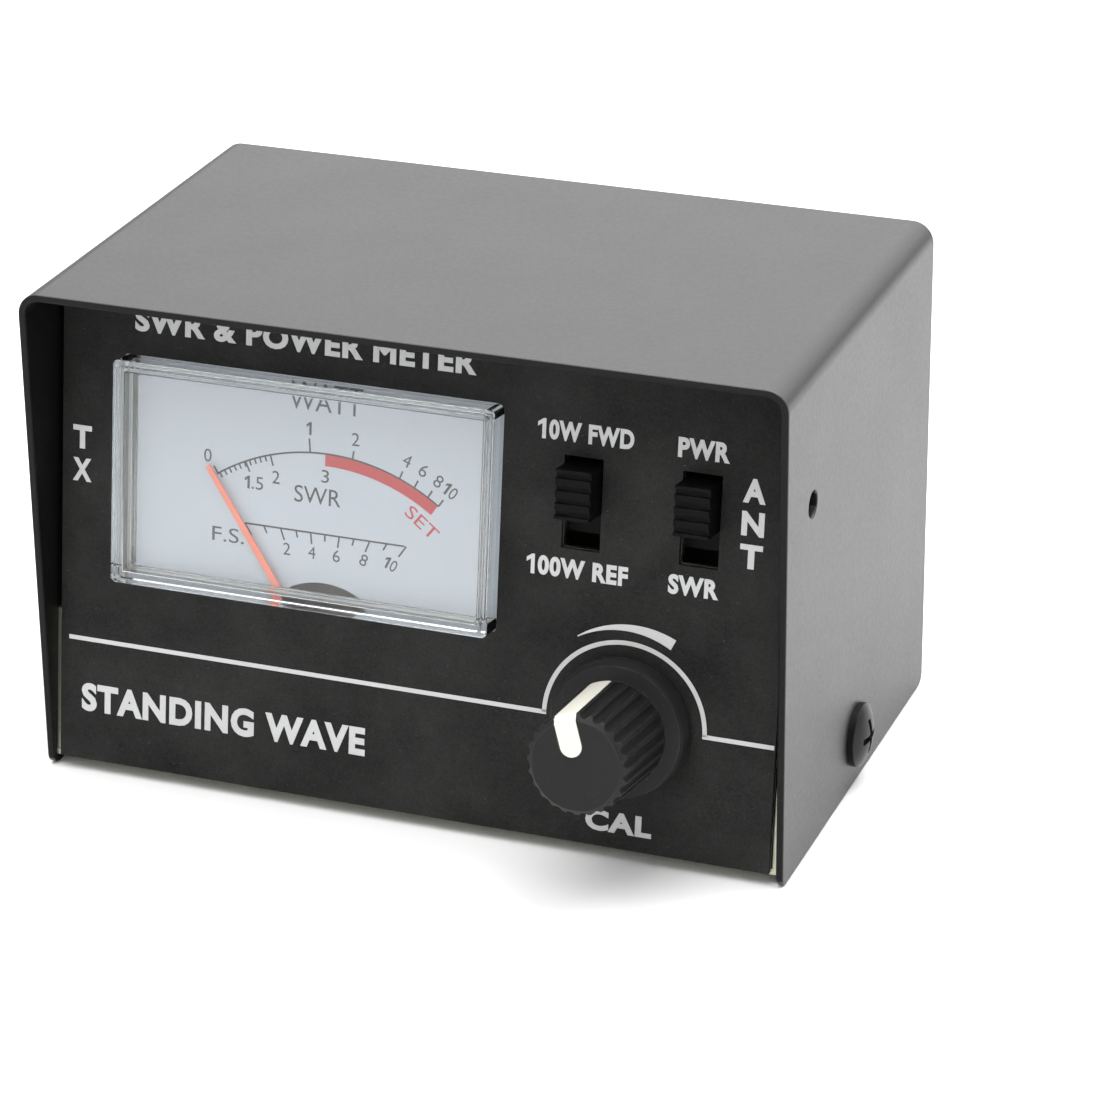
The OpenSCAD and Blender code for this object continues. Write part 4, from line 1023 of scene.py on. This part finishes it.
@dataclass
class Meter(Assembly):
    """The moving-coil movement, its dial, needle, housing and clear window.

    Attributes:
        pivot_u: Where the needle turns.
        pivot_v: Height of that point.
        ink: Thickness of the ink on the dial.
        arc_r: Radius of the upper scale's line.
        power_r: Radius of the numbers outside that line.
        ratio_r: Radius of the numbers inside it.
        upper_cap: Height of the upper scale's figures.
        tick: Length of its ticks.
        line_w: Width of fine lines.
        swing: Angle of each end of the scales.
        lower_v: Height of the lower scale's line over the pivot.
        lower_cap: Height of the lower scale's figures.
        figures_v: Height of their middle over the pivot.
    """

    pivot_u: float = -13.4
    pivot_v: float = 18.65
    ink: float = 0.015
    arc_r: float = 28.05
    power_r: float = 30.8
    ratio_r: float = 25.0
    upper_cap: float = 1.75
    tick: float = 1.15
    line_w: float = 0.24
    swing: float = 34.0
    lower_v: float = 17.1
    lower_cap: float = 1.65
    figures_v: float = 14.4

    def build(self) -> None:
        """Makes the parts of the meter."""
        self.soften("housing_plastic", "meter_housing", edge=0.15)
        self.soften("dial_face", "scale_plate", edge=0.05)
        self.soften("clear_plastic", "meter_window", edge=0.25)
        self.soften("needle_paint", "needle", edge=0.04)
        self.dress("brass_part", "scale_plate_screws", "movement_screws", "meter_studs",
                   "needle_counterweight")
        self.dress("magnet", "core_magnet")
        self.dress("soft_iron", "yoke_ring")
        self.dress("brass_part", "core_spacers", "front_bridge", "jewel_screws")
        self.dress("light_alloy", "movement_frame", "coil_former")
        self.dress("copper_coil", "moving_coil")
        self.dress("plated_steel", "pivot_pins", "meter_stud_nuts", "meter_bracket",
                   "bracket_screws", "bracket_nuts")
        self.dress("spring_bronze", "front_hairspring", "rear_hairspring")
        self._dial_print()

    def _dial_print(self) -> None:
        """The two scales, their names, the red band and its name."""
        face = on_plane(self.plane, "scale_plate")[1][2]
        dial = self.plane.moved(self.pivot_u, self.pivot_v, face)
        black = Ink(Piece("dial_scales"), dial, self.ink)
        red = Ink(Piece("dial_red_band"), dial, self.ink)
        self._upper_scale(black)
        self._lower_scale(black)
        for words in DIAL_WORDS:
            black.text(*words)
        red.arc(27.17, -0.5, 34.2, 1.55, steps=60)
        red.text("SET", polar(24.7, 33.5), 1.8, 5.2, turn=38.0)
        black.piece.finish(self.book.get("dial_ink"), "dial_face")
        red.piece.finish(self.book.get("dial_red"), "dial_face")

    def _tick(self, ink: Ink, angle: float, inner: float, outer: float) -> None:
        """A fine line along a radius."""
        ink.band(*polar(np.array([inner, outer]), angle), self.line_w)

    def _upper_scale(self, ink: Ink) -> None:
        """The curved scale: power outside the line, and the standing-wave ratio inside it.

        Args:
            ink: What prints it, with its origin at the pivot.
        """
        ink.arc(self.arc_r, -self.swing, self.swing + 0.5, self.line_w)
        for text, angle in POWER_ANGLES.items():
            longer = (0.75, 0.5) if text == "1" else (0.0, 0.0)
            self._tick(ink, angle, self.arc_r, self.arc_r + self.tick + longer[0])
            spot = polar(self.power_r + longer[1], angle)
            self._number(ink, text, spot, self.upper_cap, angle if angle > 20 else 0.0)
        for angle in np.linspace(-33.0, -16.7, 11):
            self._tick(ink, angle, self.arc_r - 0.75, self.arc_r)
        for text in ("1.5", "2"):
            self._tick(ink, RATIO_ANGLES[text], self.arc_r - 1.5, self.arc_r)
        for text, angle in RATIO_ANGLES.items():
            self._number(ink, text, polar(self.ratio_r, angle), self.upper_cap, 0.0)

    def _lower_scale(self, ink: Ink) -> None:
        """The straight scale from 0 to 10, whose ticks point at the pivot.

        Args:
            ink: What prints it, with its origin at the pivot.
        """
        ink.band(np.array([-11.5, 11.3]), np.full(2, self.lower_v), self.line_w)
        for step in range(11):
            angle = -self.swing + 2 * self.swing * step / 10
            length = 1.55 if step % 2 == 0 else 0.95
            lean = math.cos(math.radians(angle))
            self._tick(ink, angle, (self.lower_v - length) / lean, self.lower_v / lean)
        for text, u, turn in LOWER_NUMBERS:
            self._number(ink, text, (u, self.figures_v), self.lower_cap, turn)

    def _number(self, ink: Ink, text: str, spot: tuple, cap: float, turn: float) -> None:
        """A number with the proportions of narrow printed figures."""
        narrow = sum(FIGURE_WIDTHS.get(c, FIGURE_WIDTH) for c in text) + FIGURE_GAP * (len(text) - 1)
        ink.text(text, spot, cap, cap * narrow, turn)


@dataclass
class SlideSwitches(Assembly):
    """The two slide switches behind the panel."""

    def build(self) -> None:
        """Makes both switches and their screws."""
        for side in ("range_switch", "function_switch"):
            self.dress("nickel", f"{side}_frame")
            self.dress("phenolic", f"{side}_base")
            self.dress("contact_silver", f"{side}_terminals", f"{side}_contacts")
            self.soften("black_plastic", f"{side}_actuator", edge=0.14)
        self.soften("black_screw", "switch_screws", edge=0.06)


@dataclass
class CalibrationControl(Assembly):
    """The fluted knob with its ivory pointer, and the potentiometer behind it."""

    def build(self) -> None:
        """Makes the knob and the control that it turns."""
        self.soften("knob_plastic", "knob", edge=0.16)
        self.soften("ivory_plastic", "knob_pointer", edge=0.1)
        self.dress("light_alloy", "pot_bushing", "pot_shaft")
        self.dress("nickel", "pot_can", "pot_washer", "pot_nut")
        self.dress("phenolic", "pot_element")
        self.dress("contact_silver", "pot_terminals", "pot_wiper")


@dataclass
class RearSocket(Assembly):
    """One threaded coaxial socket on the back.

    Attributes:
        side: tx or ant.
        pitch: Distance from one thread to the next.
        depth: Height of a thread.
        crest_r: Radius of the barrel over its threads.
        run_out: Stretch over which the threads fade near the rim.
        plain: Stretch without a thread behind the notches.
        neck_r: Radius of the plain neck behind the threads.
        neck: Length of that neck, half of the flange included.
        rim_chamfer: Width of the slope round the outside of the rim.
        lip: Width of the slope round the mouth.
        mouth_r: Radius of the mouth.
        buried: How far the mouth's wall goes on below the insulator's face.
        notch_w: Width of each of the four notches in the rim.
        notch_d: Depth of each notch.
        columns: Points round the barrel.
        corner_r: Corner radius of the flange.
        flange_t: Thickness of the flange.
        flange_chamfer: Width of the slope round its front.
        flange_bore: Radius of the hole in it.
    """

    side: str = "tx"
    pitch: float = 1.058
    depth: float = 0.55
    crest_r: float = 7.94
    run_out: float = 0.8
    plain: float = 0.3
    neck_r: float = 7.3
    neck: float = 1.6
    rim_chamfer: float = 0.4
    lip: float = 0.2
    mouth_r: float = 6.1
    buried: float = 0.5
    notch_w: float = 1.4
    notch_d: float = 1.0
    columns: int = 96
    corner_r: float = 1.5
    flange_t: float = 2.0
    flange_chamfer: float = 0.25
    flange_bore: float = 7.0

    def build(self) -> None:
        """Makes the socket's shell with its thread, and dresses what it holds."""
        node = f"{self.side}_socket_shell"
        low, high = (np.array(corner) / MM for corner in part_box(node))
        middle = (low + high) / 2 * (1.0, 0.0, 1.0)
        axes = np.array([[-1.0, 0.0, 0.0], [0.0, 0.0, 1.0], [0.0, 1.0, 0.0]])
        back = Plane(middle, *axes)
        wall = float(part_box("chassis")[1][1]) / MM
        floor = float(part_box(f"{self.side}_socket_insulator")[1][1]) / MM
        piece = Piece(f"{self.side}_socket_body")
        self._barrel(piece, back, wall + self.flange_t * 0.5, high[1], floor)
        self._flange(piece, back, wall, high[0] - low[0])
        made = piece.finish(self.book.get("nickel"), "nickel")
        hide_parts(node)
        self.soften("insulator", f"{self.side}_socket_insulator", edge=0.15)
        self.soften("contact_silver", f"{self.side}_socket_contact", edge=0.1)

    def _flange(self, piece: Piece, back: Plane, wall: float, size: float) -> None:
        """The square flange: rings from a rounded square to the barrel, with a sloping front edge.

        Args:
            piece: The piece that takes it.
            back: The frame of the socket, whose n runs along the barrel.
            wall: Height of the case's back.
            size: Width of the flange.
        """
        slope = self.flange_chamfer
        rings = ((0.0, 0.0), (0.0, self.flange_t - slope), (slope, self.flange_t))
        outlines = [rounded_square(size - 2 * inset, self.corner_r - inset) for inset, _ in rings]
        bore = self._ring(self.flange_bore, np.arctan2(outlines[0][1], outlines[0][0]))
        rows = [back.place(*bore, wall)]
        rows += [back.place(*points, wall + rise) for points, (_, rise) in zip(outlines, rings)]
        rows += [back.place(*bore, wall + self.flange_t)]
        piece.add_rings(np.stack(rows), closed=True)

    def _barrel(self, piece: Piece, back: Plane, start: float, end: float, floor: float) -> None:
        """The threaded tube with its notched rim. A triangle wave of height and turn cuts the thread.

        Args:
            piece: The piece that takes it.
            back: The frame of the socket.
            start: Where the tube begins.
            end: Where it ends.
            floor: Height of the floor of its mouth.
        """
        turn = np.linspace(0, 2 * math.pi, self.columns, endpoint=False)
        away = np.abs(turn % (math.pi / 2) - math.pi / 4)
        rim = np.where(away * self.crest_r < self.notch_w / 2, end - self.notch_d, end)
        last = end - self.notch_d - self.plain
        thread = np.arange(start + self.neck, last, self.pitch / 8)[:, None]
        phase = ((thread - start) / self.pitch + turn[None, :] / (2 * math.pi)) % 1.0
        cut = np.clip(np.abs(phase - 0.5) * 2.4 - 0.2, 0, 1) * self.depth
        threaded = self.crest_r - cut * np.clip((last - thread) / self.run_out, 0, 1)
        profile = [(self.neck_r, start), (self.neck_r, start + self.neck * 0.9)]
        profile += list(zip(threaded, thread[:, 0]))
        profile += [
            (self.crest_r, rim - self.rim_chamfer), (self.crest_r - self.rim_chamfer, rim),
            (self.mouth_r + self.lip, rim), (self.mouth_r, rim - self.lip),
            (self.mouth_r, floor - self.buried),
        ]
        rows = [back.place(*self._ring(radius, turn), height) for radius, height in profile]
        piece.add_rings(np.stack(rows), closed=True)

    @staticmethod
    def _ring(radius: object, turn: np.ndarray) -> tuple[np.ndarray, np.ndarray]:
        """A circle, or a wavy ring where radius is an array."""
        return radius * np.cos(turn), radius * np.sin(turn)


@dataclass
class RearBoard(Assembly):
    """The sockets' fasteners, and the coupler board that joins them inside the case."""

    def build(self) -> None:
        """Dresses the fasteners, the board and its parts."""
        self.soften("nickel", "socket_screws", edge=0.08)
        self.dress("nickel", "socket_nuts", "board_spacers")
        self.dress("circuit_laminate", "circuit_board")
        self.dress("copper_strip", "line_strips")
        self.dress("component_body", "board_components")


@dataclass
class Studio:
    """Camera, floor, lights and surroundings.

    Attributes:
        eye: Where the camera stands, in metres.
        forward: Where it looks.
        up: Its upward direction.
        lens: Focal length on a sensor 36 mm wide.
        surround: Brightness of the white surroundings.
        floor_size: Width of the floor in metres.
    """

    eye: tuple[float, float, float] = (0.194246, -0.483584, 0.262525)
    forward: tuple[float, float, float] = (-0.32596, 0.85031, -0.41318)
    up: tuple[float, float, float] = (-0.13651, 0.39014, 0.91058)
    lens: float = 137.67
    surround: float = 0.6
    floor_size: float = 8.0

    def build(self) -> None:
        """Sets up the whole stage."""
        scene = bpy.context.scene
        scene.view_settings.view_transform = "Standard"
        scene.view_settings.look = "None"
        self._camera()
        self._floor()
        self._surroundings()
        self._light("back_softbox", (0.1, 1.5, 1.05), (0, 0, 0.03), (2.6, 1.6), 20.0)
        self._light("top_softbox", (0.0, 0.2, 2.0), (0, 0.2, 0.0), (3.0, 3.0), 50.0)
        self._light("floor_light", (0.16, 0.12, 0.6), (0.13, 0.07, 0.0), (0.4, 0.4), 2.6)
        self._light("front_floor_light", (-0.1, -0.45, 0.9), (0.0, -0.12, 0.0), (0.5, 0.5), 3.5)
        self._light("front_softbox", (-0.5, -1.3, 1.3), (0, 0, 0.03), (0.9, 0.9), 3.0)

    def _camera(self) -> None:
        """The camera, level with the object's own axes as forward and up say."""
        data = bpy.data.cameras.new("camera")
        data.lens = self.lens
        data.sensor_width = 36.0
        data.clip_start = 0.01
        data.clip_end = 50.0
        camera = bpy.data.objects.new("camera", data)
        ahead = Vector(self.forward).normalized()
        right = ahead.cross(Vector(self.up)).normalized()
        above = right.cross(ahead)
        turned = Matrix((right, above, -ahead)).transposed().to_4x4()
        camera.matrix_world = Matrix.Translation(Vector(self.eye)) @ turned
        bpy.context.scene.collection.objects.link(camera)
        bpy.context.scene.camera = camera

    def _floor(self) -> None:
        """A plain pale floor just under the object."""
        half = self.floor_size / 2
        mesh = bpy.data.meshes.new("floor")
        square = ((-half, -half), (half, -half), (half, half), (-half, half))
        mesh.from_pydata([(x, y, -1e-4) for x, y in square], [], [(0, 1, 2, 3)])
        material, tree, shader, place = start_material("floor_paper")
        tone = tree.mix(tree.noise(place, 30.0, 3.0), grey(0.9), grey(0.87))
        tree.fill(shader, {"Base Color": tone, "Roughness": 0.8})
        mesh.materials.append(material)
        floor = bpy.data.objects.new("floor", mesh)
        bpy.context.scene.collection.objects.link(floor)

    def _surroundings(self) -> None:
        """Plain white surroundings."""
        world = bpy.data.worlds.new("surroundings")
        bpy.context.scene.world = world
        world.use_nodes = True
        background = world.node_tree.nodes["Background"]
        background.inputs["Color"].default_value = (1.0, 1.0, 1.0, 1.0)
        background.inputs["Strength"].default_value = self.surround
        LOG.info("surroundings of strength %.2f", self.surround)

    def _light(self, name: str, place: tuple[float, float, float], target: tuple[float, float, float],
               size: tuple[float, float], power: float) -> None:
        """A soft rectangular light that the camera doesn't see.

        Args:
            name: The light's name.
            place: Where it stands, in metres.
            target: What it points at.
            size: Its width and height.
            power: Its power in watts.
        """
        data = bpy.data.lights.new(name, "AREA")
        data.shape = "RECTANGLE"
        data.size, data.size_y = size
        data.energy = power
        light = bpy.data.objects.new(name, data)
        light.location = place
        light.rotation_mode = "QUATERNION"
        light.rotation_quaternion = (Vector(target) - Vector(place)).to_track_quat("-Z", "Y")
        light.visible_camera = False
        bpy.context.scene.collection.objects.link(light)


def main() -> None:
    """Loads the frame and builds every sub-assembly."""
    logging.basicConfig(level=logging.INFO, format="%(name)s: %(message)s")
    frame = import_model()
    plane, height = front_plane(frame)
    LOG.info("front panel %.2f mm high, its lower edge at %s", height, np.round(plane.origin, 3))
    book = MaterialBook()
    Studio().build()
    shared = (frame, book, plane)
    for part in (
            CoverCase(*shared), FrontPanel(*shared), Meter(*shared), SlideSwitches(*shared),
            CalibrationControl(*shared), RearSocket(*shared, side="tx"),
            RearSocket(*shared, side="ant"), RearBoard(*shared)):
        LOG.info("building %s", type(part).__name__)
        part.build()


if __name__ == "__main__":
    main()
